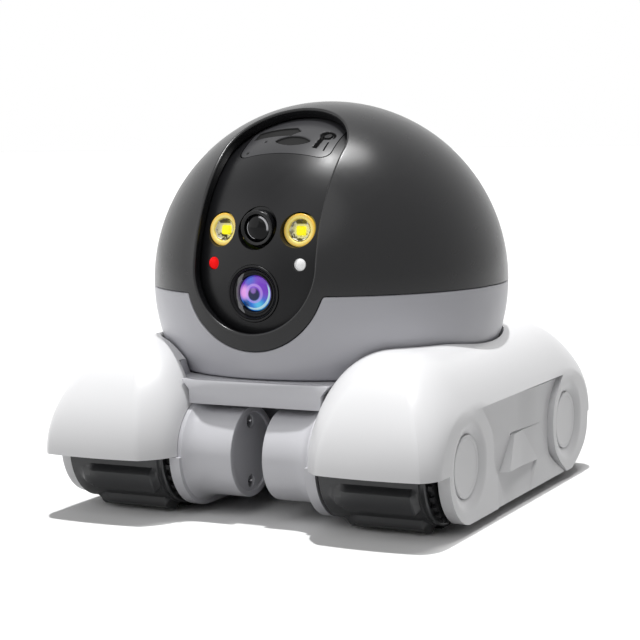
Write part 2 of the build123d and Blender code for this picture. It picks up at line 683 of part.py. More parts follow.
def eye_shell():
    body = eye_ball(EYE_R, EYE_HALF, CHIN_Z, 8.0)
    body -= eye_ball(EYE_R - EYE_WALL, CHEEK_IN, CHIN_Z + 1.8, 6.2) + block(
        -CHEEK_IN, CHEEK_IN, EYE_BACK - 1, EYE_BACK + 1, CHIN_Z + 1.8, 41.0)
    for x in (-EYE_HALF, CHEEK_IN):
        body += rod_x(x, x + 1.8, CHEEK_R, 0, 0)
    body += rod_x(EYE_HALF - 0.5, GEAR_OUT, TRUNNION_R, 0, 0)
    body += rod_x(-BRACKET_OUT, -EYE_HALF + 0.5, TRUNNION_R, 0, 0)
    body -= rod_y(-EYE_R - 6, BOARD_Y, LENS_R + FIT, 0, 0)
    for x in (-LAMP_X, LAMP_X):
        body -= rod_y(-EYE_R - 6, BOARD_Y, LAMP_R, x, LAMP_RISE)
    body -= rod_y(-EYE_R - 6, BOARD_Y, SENSOR_R, 0, SENSOR_RISE)
    for x in (-DOT_X, DOT_X):
        body -= rod_y(-EYE_R - 6, BOARD_Y, DOT_R, x, DOT_RISE)
    body -= plate_window(FIT)
    return to_head(body)


def service_plate():
    body = (Sphere(EYE_R) - Sphere(EYE_R - EYE_WALL)) & plate_window(0)
    for x, lat, wide in ((1.3, 58.0, 9.4), (-3.8, 63.5, 10.0)):
        cut = radial_plane(lat, x) * Pos(0, 0, EYE_R - 0.6) * SlotOverall(wide, 4.0)
        body -= extrude(cut, amount=4)
    body -= extrude(radial_plane(56.2, 7.9) * Pos(0, 0, EYE_R - 1.8) * Rectangle(1.0, 4.7), amount=6)
    body -= radial_plane(RESET_LAT, RESET_X) * Pos(0, 0, EYE_R - 2) * Cylinder(RESET_R + 0.3, 12)
    return to_head(body)


def reset_button():
    depth = sqrt(EYE_R ** 2 - RESET_X ** 2)
    plane = radial_plane(RESET_LAT, RESET_X)
    body = plane * Pos(0, 0, depth - 2.2) * Cylinder(RESET_R, 4.0)
    body += plane * Pos(0, 0, depth - 3.9) * Cylinder(RESET_R + 0.9, 1.0)
    return to_head(body)


def lens_bezel():
    front = -EYE_R - 0.3
    bore = LENS_R - LENS_RING
    body = rod_y(front, LENS_SEAT - EYE_R, LENS_R, 0, 0) - rod_y(front - 1, 0, bore, 0, 0)
    cone = Pos(0, front + 0.55, 0) * Rot(90, 0, 0) * Cone(bore - 0.05, LENS_R - 0.35, 1.2)
    return to_head(body - cone)


def lens_barrel():
    front = 0.7 - EYE_R
    body = rod_y(front, BOARD_Y, LENS_R - LENS_RING - 0.1, 0, 0)
    body -= rod_y(front - 5, front + 2.7, 4.7, 0, 0)
    body -= rod_y(front - 5, front + 4.3, 2.3, 0, 0)
    return to_head(body)


def lens_glass():
    front = 0.7 - EYE_R
    dome = Pos(0, front + 10.4, 0) * Sphere(10.5)
    return to_head(dome & rod_y(front - 2, front + 2.4, 4.65, 0, 0))


LAMP_SEAT_Y = BOARD_Y - 3.6


def lamp_cup(x):
    # Reflector: a flat ring round a cone, its front kept just under the ball's surface
    body = rod_y(LAMP_DEPTH - EYE_R, LAMP_SEAT_Y + 0.6, LAMP_R - FIT, x, LAMP_RISE) & Sphere(EYE_R - 0.5)
    cone = Pos(x, LAMP_SEAT_Y - 2.0, LAMP_RISE) * Rot(90, 0, 0) * Cone(CHIP * 0.75, LAMP_R - 0.9, 4.0)
    return to_head(body - cone)


def lamp_chips():
    chips = Part()
    half = CHIP / 2
    for x in (-LAMP_X, LAMP_X):
        chips += block(x - half, x + half, LAMP_SEAT_Y - 0.7, LAMP_SEAT_Y, LAMP_RISE - half, LAMP_RISE + half)
    return to_head(chips)


SENSOR_Y = SENSOR_DEPTH - EYE_R


def sensor_dome():
    # Short barrel standing a little proud of its hole, closed by a low glossy dome
    foot = rod_y(SENSOR_Y + 2.4, SENSOR_Y + 3.8, SENSOR_R - FIT, 0, SENSOR_RISE)
    barrel = rod_y(SENSOR_Y, SENSOR_Y + 3.0, SENSOR_BARREL_R, 0, SENSOR_RISE)
    cone = Pos(0, SENSOR_Y + 0.2, SENSOR_RISE) * Rot(90, 0, 0) * Cone(3.4, 4.1, 0.6)
    dome = Pos(0, SENSOR_Y + 14.6, SENSOR_RISE) * Sphere(15.0)
    return to_head(foot + (barrel - cone) + (dome & rod_y(SENSOR_Y - 2, SENSOR_Y + 2, 3.35, 0, SENSOR_RISE)))


def dot_pin(x):
    return to_head(rod_y(2.1 - EYE_R, BOARD_Y - 6.4, DOT_R - 0.05, x, DOT_RISE))


def image_board():
    back = BOARD_Y + 1.2
    board = block(-15, 15, BOARD_Y, back, -12, LAMP_RISE + LAMP_R + 3.2)
    board += block(-5, 5, back, back + 1.4, -5, 5) + block(-12, -6, back, back + 2.6, 10, 15)
    board += block(5, 13, back, back + 1.6, 12, 18)
    for x in (-LAMP_X, LAMP_X):
        board += rod_y(LAMP_SEAT_Y + 0.6, BOARD_Y, 1.6, x, LAMP_RISE)
    board += rod_y(SENSOR_Y + 3.8, BOARD_Y, 2.4, 0, SENSOR_RISE)
    for x in (-DOT_X, DOT_X):
        board += rod_y(BOARD_Y - 6.4, BOARD_Y, 1.2, x, DOT_RISE)
    return to_head(board)


def tilt_gear():
    wheel = gear(TILT_TEETH, GEAR_OUT - GEAR_IN, TRUNNION_R)
    plane = Plane(origin=(GEAR_IN, 0, 0), x_dir=(0, 1, 0), z_dir=(1, 0, 0))
    return to_head(plane * Rot(0, 0, -30) * wheel)


def tilt_pinion():
    tall = GEAR_OUT - GEAR_IN + 0.4
    wheel = Rot(0, 0, 150 + 180 / PINION_TEETH) * gear(PINION_TEETH, tall, 0.4)
    plane = Plane(origin=(GEAR_IN - 0.2, TILT_PINION_Y, TILT_PINION_Z), x_dir=(0, 1, 0), z_dir=(1, 0, 0))
    body = plane * wheel + rod_x(BRACKET_IN - 3.4, GEAR_IN + 2, 1.0, TILT_PINION_Y, TILT_PINION_Z)
    return to_head(body)


def tilt_motor():
    face = BRACKET_IN - 1.6
    can = rod_x(face - 10.8, face, 7.4, TILT_PINION_Y, TILT_PINION_Z)
    can += rod_x(face, BRACKET_IN, 2.6, TILT_PINION_Y, TILT_PINION_Z)
    can -= rod_x(face - 2.8, 30, 1.0 + BORE_GAP, TILT_PINION_Y, TILT_PINION_Z)
    can += block(face - 0.8, BRACKET_IN, TILT_PINION_Y - 3, TILT_PINION_Y + 3, TILT_PINION_Z + 4, TILT_PINION_Z + 9)
    return to_head(can)


def tilt_bracket():
    base = block(-BRACKET_OUT, BRACKET_OUT, 2.0, 24.0, FLOOR_HIGH, FLOOR_HIGH + 2.0)
    left = block(-BRACKET_OUT, -BRACKET_IN, -7.0, 8.0, FLOOR_HIGH, 0) + rod_x(-BRACKET_OUT, -BRACKET_IN, 7.0, 0, 0)
    right = block(BRACKET_IN, BRACKET_OUT, -7.0, 24.0, FLOOR_HIGH, 0) + rod_x(BRACKET_IN, BRACKET_OUT, 7.0, 0, 0)
    body = base + left + right
    body -= rod_x(-30, 30, TRUNNION_R + BORE_GAP, 0, 0)
    body -= rod_x(0, 30, 1.4, TILT_PINION_Y, TILT_PINION_Z)
    body -= rod_x(2, BRACKET_IN, 7.8, TILT_PINION_Y, TILT_PINION_Z)
    return to_head(body)


def head_board():
    board = block(-15, 15, 27.0, 28.2, FLOOR_HIGH, 8)
    board += block(-7, 5, 25.6, 27.0, -12, 0) + block(7, 13, 24.8, 27.0, -8, 3)
    return to_head(board)


right_parts = {
    "side_frame": side_frame(),
    "motor_housing": motor_housing(),
    "motor_cap": motor_cap(),
    "drive_motor": drive_motor(),
    "track": track(),
    "pod_cover": pod_cover(),
    "side_insert": side_insert(),
    "hub_caps": hub_caps(),
    "axle_pins": axle_pins(),
    "sprocket": sprocket(),
    "idler": idler(),
    "road_roller": road_roller(),
}

parts = {}
for name, part in right_parts.items():
    parts["right_" + name] = part
    parts["left_" + name] = mirrored(part)

parts.update({
    "chassis_tub": chassis_tub(),
    "deck": deck(),
    "front_fascia": front_fascia(),
    "motor_cap_screws": motor_cap_screws(),
    "battery_door": battery_door(),
    "door_screws": door_screws(),
    "battery_pack": battery_pack(),
    "main_board": main_board(),
    "speaker": speaker(),
    "usb_port": usb_port(),
    "power_button": power_button(),
    "pan_motor": pan_motor(),
    "pan_pinion": pan_pinion(),
    "pan_gear": pan_gear(),
    "turntable": turntable(),
    "lower_shell": lower_shell(),
    "upper_shell": upper_shell(),
    "tilt_bracket": tilt_bracket(),
    "tilt_motor": tilt_motor(),
    "tilt_pinion": tilt_pinion(),
    "head_board": head_board(),
    "eye_shell": eye_shell(),
    "service_plate": service_plate(),
    "reset_button": reset_button(),
    "lens_bezel": lens_bezel(),
    "lens_barrel": lens_barrel(),
    "lens_glass": lens_glass(),
    "left_lamp_cup": lamp_cup(-LAMP_X),
    "right_lamp_cup": lamp_cup(LAMP_X),
    "lamp_chips": lamp_chips(),
    "sensor_dome": sensor_dome(),
    "red_indicator": dot_pin(-DOT_X),
    "white_sensor": dot_pin(DOT_X),
    "image_board": image_board(),
    "tilt_gear": tilt_gear(),
})

os.makedirs("parts", exist_ok=True)
for name, part in parts.items():
    export_step(part, "parts/" + name + ".step")
    box = part.bounding_box()
    print(f"{name:18s} {part.volume:9.1f} x {box.min.X:6.1f} {box.max.X:6.1f} "
          f"y {box.min.Y:6.1f} {box.max.Y:6.1f} z {box.min.Z:6.1f} {box.max.Z:6.1f} n {len(part.solids())}")
print(len(parts), "nodes")
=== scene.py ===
import json
import math
import bmesh
import bpy
import numpy as np
from mathutils import Matrix, Vector

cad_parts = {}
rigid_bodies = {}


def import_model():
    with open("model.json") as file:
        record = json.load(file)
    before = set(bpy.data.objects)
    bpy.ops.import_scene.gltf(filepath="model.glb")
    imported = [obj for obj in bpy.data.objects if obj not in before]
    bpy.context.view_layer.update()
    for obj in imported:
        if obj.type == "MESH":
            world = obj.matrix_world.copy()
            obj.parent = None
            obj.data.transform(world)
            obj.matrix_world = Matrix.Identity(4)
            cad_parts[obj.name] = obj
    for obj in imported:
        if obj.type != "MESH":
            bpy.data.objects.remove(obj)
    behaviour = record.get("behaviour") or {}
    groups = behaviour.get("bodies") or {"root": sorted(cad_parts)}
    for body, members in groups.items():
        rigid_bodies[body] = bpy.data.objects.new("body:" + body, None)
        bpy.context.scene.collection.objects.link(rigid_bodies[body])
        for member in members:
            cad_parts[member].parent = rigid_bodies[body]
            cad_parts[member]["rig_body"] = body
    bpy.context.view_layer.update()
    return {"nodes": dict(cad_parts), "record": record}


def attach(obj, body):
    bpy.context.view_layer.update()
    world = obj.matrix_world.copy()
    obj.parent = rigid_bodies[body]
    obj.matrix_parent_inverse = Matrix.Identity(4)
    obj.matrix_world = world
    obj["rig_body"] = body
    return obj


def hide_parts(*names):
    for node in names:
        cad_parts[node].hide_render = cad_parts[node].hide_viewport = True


# Robotic pet camera: tracked base, turning ball head, tilting eye. Shapes are worked out in mm in
# the shared frame (front towards -Y, floor at Z = 0) and scaled on the way in.

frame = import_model()
nodes = frame["nodes"]
MM = 0.001

AXLE_Z = 16.3
FRONT_Y, REAR_Y = -36.8, 36.8
HEAD = np.array([0.0, 0.7, 56.8])


class Value:
    """One shader socket that can be used in sums, products and powers."""

    def __init__(self, finish, socket):
        self.finish, self.socket = finish, socket

    def _join(self, operation, other, turned=False):
        pair = (other, self) if turned else (self, other)
        return self.finish.number("Math", {"operation": operation}, *pair)

    def __add__(self, other):
        return self._join("ADD", other)

    def __radd__(self, other):
        return self._join("ADD", other, True)

    def __sub__(self, other):
        return self._join("SUBTRACT", other)

    def __rsub__(self, other):
        return self._join("SUBTRACT", other, True)

    def __mul__(self, other):
        return self._join("MULTIPLY", other)

    def __rmul__(self, other):
        return self._join("MULTIPLY", other, True)

    def __truediv__(self, other):
        return self._join("DIVIDE", other)

    def __rtruediv__(self, other):
        return self._join("DIVIDE", other, True)

    def __pow__(self, other):
        return self._join("POWER", other)

    def below(self, edge, soft):
        """1 where the value is under the edge, fading to 0 over the soft width."""
        kind = {"interpolation_type": "SMOOTHSTEP"}
        return self.finish.number("MapRange", kind, self, edge - soft / 2, edge + soft / 2, 1.0, 0.0)

    def between(self, inner, outer, soft):
        """1 where the value lies between the two edges."""
        return self.below(outer, soft) * (1.0 - self.below(inner, soft))


def length(first, *others):
    """Square root of the sum of the squares of socket values."""
    return sum((n * n for n in others), first * first) ** 0.5


class Finish:
    """A material on this object's pieces, built on one Principled shader."""

    def __init__(self, name, colour, roughness, **plain):
        self.material = bpy.data.materials.new(name)
        self.material.use_nodes = True
        self.tree = self.material.node_tree
        self.shader = next(n for n in self.tree.nodes if n.type == "BSDF_PRINCIPLED")
        self.shader.inputs["Base Color"].default_value = (*colour, 1.0)
        self.shader.inputs["Roughness"].default_value = roughness
        for socket, value in plain.items():
            self.shader.inputs[socket.replace("_", " ")].default_value = value
        self.material.diffuse_color = (*colour, 1.0)

    def node(self, kind, settings, *inputs):
        """Adds a node: its settings first, then values or links for its sockets in order."""
        made = self.tree.nodes.new("ShaderNode" + kind)
        for name, value in settings.items():
            setattr(made, name, value)
        sockets = [s for s in made.inputs if s.enabled]
        for socket, value in zip(sockets, inputs):
            if isinstance(value, Value):
                self.tree.links.new(value.socket, socket)
            elif value is not None:
                socket.default_value = value
        return made

    def number(self, kind, settings, *inputs):
        """The first output in use of a new node."""
        made = self.node(kind, settings, *inputs)
        return Value(self, next(s for s in made.outputs if s.enabled))

    def place(self, centre=(0, 0, 0), unit_mm=1):
        """Object coordinates from a centre in mm, counted in units of that many mm."""
        source = Value(self, self.node("TexCoord", {}).outputs["Object"])
        return self.number("Mapping", {"vector_type": "TEXTURE"}, source,
                           tuple(MM * c for c in centre), None, (MM * unit_mm,) * 3)

    def parts(self, vector):
        """The three numbers of a vector."""
        split = self.node("SeparateXYZ", {}, vector)
        return [Value(self, s) for s in split.outputs]

    def grain(self, vector, scale, detail=3.0):
        """Noise between about 0 and 1."""
        return self.number("TexNoise", {}, vector, scale, detail, 0.55)

    def blend(self, share, one, other):
        """Colour one where share is 0, the other where it is 1."""
        colours = [c if isinstance(c, Value) else (*c, 1.0) for c in (one, other)]
        return self.number("Mix", {"data_type": "RGBA"}, share, *colours)

    def feed(self, socket, value):
        """Links a value to one of the shader's sockets."""
        self.tree.links.new(value.socket, self.shader.inputs[socket])
        return self

    def bump(self, height, strength, distance):
        """Fine relief, distance in mm."""
        return self.feed("Normal", self.number("Bump", {}, strength, distance * MM, None, height))


def moulded(name, colour, roughness, drift=0.03, relief=0.02, **plain):
    """Moulded plastic: faint cloudy change of tone and gloss, and a very fine grain."""
    made = Finish(name, colour, roughness, **plain)
    at = made.place()
    cloud = made.grain(at, 0.06, 2.0)
    shade = tuple(c * (1 - drift) for c in colour)
    made.feed("Base Color", made.blend(cloud, colour, shade))
    made.feed("Roughness", roughness * (0.85 + 0.3 * made.grain(at, 0.25)))
    return made.bump(made.grain(at, 3.0), relief, 0.05)


pod_white = moulded("pod_gloss_white", (0.80, 0.80, 0.81), 0.33, 0.02, 0.02,
                    Coat_Weight=0.12, Coat_Roughness=0.2, Specular_IOR_Level=0.36)
# The panel's white is a little darker than the crown's: painted shade in the sunk panel.
panel_white_painted_shade = moulded("panel_gloss_white_painted_shade", (0.76, 0.76, 0.77), 0.33, 0.02, 0.02, Specular_IOR_Level=0.36)
frame_grey = moulded("barrel_light_grey", (0.62, 0.62, 0.65), 0.34)
lower_grey = moulded("lower_shell_grey", (0.50, 0.50, 0.535), 0.33)
dome_black = moulded("dome_satin_charcoal", (0.007, 0.007, 0.008), 0.26, 0.1, 0.04, Specular_IOR_Level=0.36)
eye_black = moulded("eye_satin_black", (0.007, 0.007, 0.008), 0.33, 0.1, 0.03, Specular_IOR_Level=0.21)
rubber = moulded("track_rubber", (0.032, 0.033, 0.035), 0.42, 0.2, 0.12, Specular_IOR_Level=0.45)
dot_red = Finish("dot_red", (0.92, 0.005, 0.005), 0.35, Specular_IOR_Level=0.1,
                 Emission_Color=(1.0, 0.01, 0.01, 1.0), Emission_Strength=0.35)
# The white sensor window's emission is a painted glow.
dot_white = Finish("dot_white", (0.9, 0.9, 0.9), 0.35,
                   Emission_Color=(1.0, 1.0, 1.0, 1.0), Emission_Strength=0.22)
barrel_black = Finish("sensor_barrel_black", (0.006, 0.006, 0.007), 0.25, Specular_IOR_Level=0.25)
chip_yellow = Finish("lamp_chip_yellow", (0.98, 0.90, 0.01), 0.4, Specular_IOR_Level=0.2,
                     Emission_Color=(1.0, 0.93, 0.02, 1.0), Emission_Strength=0.5)

LENS_R = 4.6
LAMP_X, LAMP_RISE, CHIP = 10.6, 15.5, 2.3
SENSOR_RISE, SENSOR_FRONT = 15.9, 41.4


def lens_with_painted_reflections():
    """Coated lens with painted reflections: violet above to blue below, a painted pink reflection at the
    left, a dark pupil in a painted pale pink reflection ring, a painted bright crescent of reflection low on
    the right, dark at the rim; the colours also glow as painted light."""
    made = Finish("lens_glass_painted_reflections", (0.1, 0.1, 0.4), 0.1, Coat_Weight=0.25, Coat_Roughness=0.03,
                  Specular_IOR_Level=0.2, Emission_Strength=0.3)
    x, _, z = made.parts(made.place(HEAD, LENS_R))
    away = length(x, z)

    def patches(colour, *rows):
        """The colour under soft round patches: place to the right and up, edge, softness, share, tint."""
        for right, up, edge, soft, share, tint in rows:
            colour = made.blend(length(x - right, z - up).below(edge, soft) * share, colour, tint)
        return colour

    colour = made.blend((z + 0.25 * x).below(-0.08, 0.7), (0.20, 0.05, 0.62), (0.01, 0.20, 0.78))
    # The pink patch at the left and the pale blue one low on the right are painted reflections.
    colour = patches(colour, (-0.30, 0.72, 0.30, 0.50, 0.8, (0.04, 0.16, 0.70)),
                     (-0.62, 0.02, 0.34, 0.42, 1.0, (0.85, 0.38, 0.92)),
                     (0.25, -0.62, 0.26, 0.40, 0.9, (0.10, 0.62, 0.98)),
                     (-0.55, -0.62, 0.24, 0.30, 0.8, (0.0, 0.02, 0.10)))
    # Painted pale ring of reflection round the pupil.
    colour = made.blend(away.between(0.38, 0.52, 0.08) * 0.6, colour, (0.62, 0.38, 0.98))
    # The dark pupil, with a painted pale reflection above its middle.
    colour = patches(colour, (0.0, -0.05, 0.34, 0.10, 1.0, (0.004, 0.012, 0.07)),
                     (-0.02, 0.16, 0.16, 0.12, 0.55, (0.45, 0.22, 0.85)))
    # Painted bright crescent of reflection low on the right.
    crescent = away.below(0.90, 0.04) * (1.0 - length(x + 0.05, z - 0.07).below(0.86, 0.04))
    colour = made.blend(crescent * (1.0 - (x - z).below(0.3, 0.5)), colour, (0.55, 0.88, 1.0))
    colour = made.blend(1.0 - away.below(0.95, 0.06), colour, (0.005, 0.005, 0.02))
    # The colours are fed to the emission as well: a painted glow.
    made.feed("Emission Color", colour)
    return made.feed("Base Color", colour)


def plate_satin():
    """The plate's satin grey black, with painted shade: near black, and dull, where the surface lies under
    the ball in its recesses.
    """
    grey, deep = (0.035, 0.035, 0.038), (0.002, 0.002, 0.002)
    made = Finish("plate_satin_black_painted_shade", grey, 0.34, Specular_IOR_Level=0.26)
    sunk = length(*made.parts(made.place(HEAD))).below(43.8, 0.12)
    # Painted shade: the recesses are coloured near black.
    made.feed("Base Color", made.blend(sunk, grey, deep))
    return made.feed("Roughness", 0.34 + 0.5 * sunk)


def lamp_yellow_ring():
    """Lamp ring: amber at its outer edge, pale yellow inside, with a faint painted glow."""
    # The emission is a painted glow.
    made = Finish("lamp_ring_amber_painted_glow", (0.9, 0.65, 0.12), 0.3, Coat_Weight=0.25, Coat_Roughness=0.08,
                  Emission_Color=(1.0, 0.8, 0.2, 1.0), Emission_Strength=0.2)
    x, _, z = made.parts(made.place(HEAD))
    side = made.number("Math", {"operation": "ABSOLUTE"}, x)
    away = length(side - LAMP_X, z - (LAMP_RISE - 0.1))
    amber, pale = (0.92, 0.50, 0.01), (0.98, 0.82, 0.22)
    return made.feed("Base Color", made.blend(away.below(3.5, 0.7), amber, pale))


def sensor_gloss_painted_reflections():
    """Sensor window: gloss black with two painted reflections as pale arcs, a broad one high on the right and
    a thin one on the left, each a ring kept only where the direction from the middle is near the arc's own."""
    black = (0.003, 0.003, 0.004)
    made = Finish("sensor_black_painted_reflections", black, 0.08, Specular_IOR_Level=0.15)
    x, _, z = made.parts(made.place(HEAD + np.array([0.0, 0.0, SENSOR_RISE])))
    away = length(x, z)

    def arc(inner, outer, soft, along, edge, fade):
        return away.between(inner, outer, soft) * (1.0 - (along / away).below(edge, fade))

    # Both arcs are painted reflections.
    broad = arc(2.62, 3.05, 0.12, 0.83 * x + 0.56 * z, 0.72, 0.18)
    thin = arc(2.6, 2.78, 0.08, -0.93 * x - 0.37 * z, 0.62, 0.2)
    return made.feed("Base Color", made.blend(broad + 0.9 * thin, black, (0.85, 0.85, 0.88)))


def barrel_inner_painted_reflection():
    """Inside of the lens barrel: black, with a painted reflection as a pale curved band to the left of the
    glass.
    """
    black = (0.006, 0.006, 0.007)
    made = Finish("inner_black_painted_reflection", black, 0.4, Specular_IOR_Level=0.15)
    x, _, z = made.parts(made.place(HEAD))
    # Painted reflection: a pale curved band.
    painted_reflection_band = length(x - 5.4, z * 0.9).between(9.2, 10.3, 0.12) * (1.0 - (0.0 - x).below(0.4, 0.3))
    return made.feed("Base Color", made.blend(painted_reflection_band, black, (0.25, 0.25, 0.26)))


def lamp_bowl_painted_reflections():
    """Bright bowl round a chip: pale metal with painted reflections, a dark brown patch over the chip and
    broken dark streaks under it and at its rim."""
    made = Finish("lamp_bowl_painted_reflections", (0.8, 0.78, 0.72), 0.22)
    at = made.place(HEAD)
    x, _, z = made.parts(at)
    side = made.number("Math", {"operation": "ABSOLUTE"}, x) - 10.75
    high = z - 15.7
    # Painted reflections: the dark patch over the chip and the broken dark streaks under it and at the rim.
    over = (1.15 - high).below(0.0, 0.25) * (side * side).below(2.2, 0.8) * high.below(2.3, 0.3)
    painted_streak = made.grain(at, 0.9, 2.0).below(0.47, 0.06)
    under = (high + 1.25).below(0.0, 0.25) * painted_streak
    rim = (1.0 - length(side, high).below(2.2, 0.3)) * painted_streak
    colour = made.blend(over * 0.95, (0.95, 0.94, 0.92), (0.05, 0.035, 0.02))
    colour = made.blend(under, colour, (0.03, 0.025, 0.03))
    return made.feed("Base Color", made.blend(rim * 0.7, colour, (0.10, 0.08, 0.07)))


lens_painted_glow = lens_with_painted_reflections()
plate_black_shaded_recesses = plate_satin()
lamp_ring_painted_glow = lamp_yellow_ring()
bowl_painted_reflections = lamp_bowl_painted_reflections()
sensor_black = sensor_gloss_painted_reflections()
barrel_painted_reflection = barrel_inner_painted_reflection()

finishes = {
    "pod_white": pod_white, "frame_grey": frame_grey, "lower_grey": lower_grey, "dome_black": dome_black,
    "eye_black": eye_black, "track_rubber": rubber, "lens_glass": lens_painted_glow, "lamp_yellow": chip_yellow,
    "sensor_black": sensor_black, "dot_red": dot_red, "dot_white": dot_white,
    "lamp_chrome": Finish("lamp_chrome", (0.80, 0.76, 0.66), 0.10, Metallic=1.0),
    "inner_black": moulded("inner_black", (0.015, 0.015, 0.016), 0.5),
    "tub_grey": moulded("tub_grey", (0.30, 0.30, 0.32), 0.45),
    "wheel_grey": moulded("wheel_dark", (0.014, 0.014, 0.015), 0.5, Specular_IOR_Level=0.2),
    "button_grey": moulded("button_grey", (0.35, 0.35, 0.37), 0.35),
    "gear_white": moulded("gear_nylon", (0.72, 0.70, 0.64), 0.45),
    "steel": moulded("pin_steel", (0.62, 0.62, 0.63), 0.28, Metallic=1.0),
    "motor_metal": moulded("motor_can", (0.55, 0.55, 0.57), 0.32, Metallic=1.0),
    "port_metal": moulded("port_steel", (0.7, 0.7, 0.7), 0.25, Metallic=1.0),
    "battery_wrap": moulded("battery_wrap", (0.05, 0.16, 0.42), 0.3),
    "board_green": moulded("board_green", (0.02, 0.14, 0.05), 0.35),
    "speaker_black": moulded("speaker_black", (0.02, 0.02, 0.02), 0.55),
}
slot_of = {subpart["node"]: subpart["material_slot"] for subpart in frame["record"]["subparts"]}
for node_name, slot_name in slot_of.items():
    nodes[node_name].data.materials.clear()
    nodes[node_name].data.materials.append(finishes[slot_name].material)


def grid(rows, columns, round_rows=False, round_columns=False):
    """Quads between neighbours of a table of points; a round direction joins its end to its start."""
    i, j = np.meshgrid(np.arange(rows if round_rows else rows - 1),
                       np.arange(columns if round_columns else columns - 1), indexing="ij")
    right, down = (j + 1) % columns, (i + 1) % rows
    return np.stack([i * columns + j, i * columns + right, down * columns + right, down * columns + j],
                    -1).reshape(-1, 4)


def closed(points, faces):
    """A mesh of one closed surface in mm: doubles merged, faces turned outwards by its volume's sign."""
    mesh = bpy.data.meshes.new("surface")
    mesh.from_pydata((np.asarray(points, float).reshape(-1, 3) * MM).tolist(), [], [list(f) for f in faces])
    work = bmesh.new()
    work.from_mesh(mesh)
    bmesh.ops.remove_doubles(work, verts=work.verts, dist=3e-6)
    bmesh.ops.dissolve_degenerate(work, dist=1e-7, edges=work.edges)
    bmesh.ops.recalc_face_normals(work, faces=work.faces)
    if work.calc_volume(signed=True) < 0:
        bmesh.ops.reverse_faces(work, faces=work.faces)
    work.to_mesh(mesh)
    work.free()
    return mesh


def capped(rings, turn=1):
    """Closed surface through rings of points, its first and last ring each filled by one face; both
    are read the other way round with turn -1."""
    count, last = len(rings[0]), (len(rings) - 1) * len(rings[0])
    faces = grid(len(rings), count, False, True).tolist()
    faces += [list(range(count))[::turn], list(range(last, last + count))[::-turn]]
    return closed(np.vstack(rings), faces)


def edge_of(rows, columns):
    """Indices of a table of points, once round its edge."""
    index = np.arange(rows * columns).reshape(rows, columns)
    return np.concatenate([index[0, :-1], index[:-1, -1], index[-1, :0:-1], index[:0:-1, 0]])


def slab(front, back):
    """Closed plate between two sheets of points: both, and a strip of quads round their edge."""
    rows, columns = front.shape[:2]
    count = rows * columns
    edge = edge_of(rows, columns)
    after = np.roll(edge, -1)
    faces = [grid(rows, columns), grid(rows, columns)[:, ::-1] + count,
             np.stack([edge, after, after + count, edge + count], -1)]
    return closed(np.concatenate([front.reshape(-1, 3), back.reshape(-1, 3)]), np.vstack(faces))


def join(meshes):
    """Several closed surfaces in one mesh."""
    work = bmesh.new()
    for mesh in meshes:
        work.from_mesh(mesh)
    made = bpy.data.meshes.new("joined")
    work.to_mesh(made)
    work.free()
    return made


def flipped(mesh):
    """The same shape on the other side of the robot: X changes sign, so each face is turned round."""
    made = mesh.copy()
    made.transform(Matrix.Diagonal((-1, 1, 1, 1)))
    made.flip_normals()
    return made


def place(name, finish, mesh, *replaced, crease=32, weighted=False):
    """Puts a finished mesh in as a piece that stands for CAD nodes and moves with their body."""
    mesh.name = name
    mesh.shade_smooth()
    mesh.set_sharp_from_angle(angle=math.radians(crease))
    mesh.materials.clear()
    mesh.materials.append(finish.material)
    piece = bpy.data.objects.new(name, mesh)
    bpy.context.collection.objects.link(piece)
    if weighted:
        normals = piece.modifiers.new("flat_faces_first", "WEIGHTED_NORMAL")
        normals.keep_sharp = True
    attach(piece, nodes[replaced[0]]["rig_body"])
    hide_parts(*replaced)


def eased(corners, reach, steps=4):
    """A line through the corners, each rounded by (1-t)^2 A + 2t(1-t) C + t^2 B, where A and B lie
    on its two sides at the given reach from the corner C."""
    spots = np.asarray(corners, float)
    t = np.linspace(0, 1, steps + 1)[:, None]
    line = [spots[:1]]
    for before, corner, after in zip(spots[:-2], spots[1:-1], spots[2:]):
        a = corner + (before - corner) * min(0.5, reach / np.linalg.norm(before - corner))
        b = corner + (after - corner) * min(0.5, reach / np.linalg.norm(after - corner))
        line.append((1 - t) ** 2 * a + 2 * t * (1 - t) * corner + t ** 2 * b)
    line.append(spots[-1:])
    return np.vstack(line)


def step(value, edge, soft):
    """0 below the edge, 1 above it, with 3t^2 - 2t^3 between."""
    t = np.clip((value - edge) / soft + 0.5, 0, 1)
    return t * t * (3 - 2 * t)


def unit(vector):
    """The vector at length 1."""
    vector = np.asarray(vector, float)
    return vector / np.linalg.norm(vector)


def turned(profile, centre, axis, around=96, facets=0, depth=0.0):
    """Surface of revolution: centre + axis * distance + radius * (cos angle, sin angle), the profile
    giving radius and distance. With facets the radius is cut to flats between that many edges."""
    axis = unit(axis)
    first = unit(np.cross(axis, (1.0, 0.0, 0.0) if abs(axis[0]) < 0.9 else (0.0, 1.0, 0.0)))
    second = np.cross(axis, first)
    angle = np.linspace(0, 2 * np.pi, around, endpoint=False)
    ring = np.cos(angle)[:, None] * first + np.sin(angle)[:, None] * second
    radius, distance = np.asarray(profile, float).T
    wide = radius[:, None] * np.ones(around)
    if facets:
        wide = wide * (1 - depth * np.abs(np.sin(facets * angle / 2)))
    points = np.asarray(centre, float) + distance[:, None, None] * axis + wide[:, :, None] * ring
    return closed(points, grid(len(radius), around, False, True))


def extruded(outline, x0, x1):
    """A flat outline of (y, z) carried along X between two values."""
    return capped([np.column_stack([np.full(len(outline), x), outline]) for x in (x0, x1)])


def circle(y, z, r, count=96):
    """Outline of (y, z): the centre and r times the cosine and sine of the angle."""
    angle = np.linspace(0, 2 * np.pi, count, endpoint=False)
    return np.column_stack([y + r * np.cos(angle), z + r * np.sin(angle)])


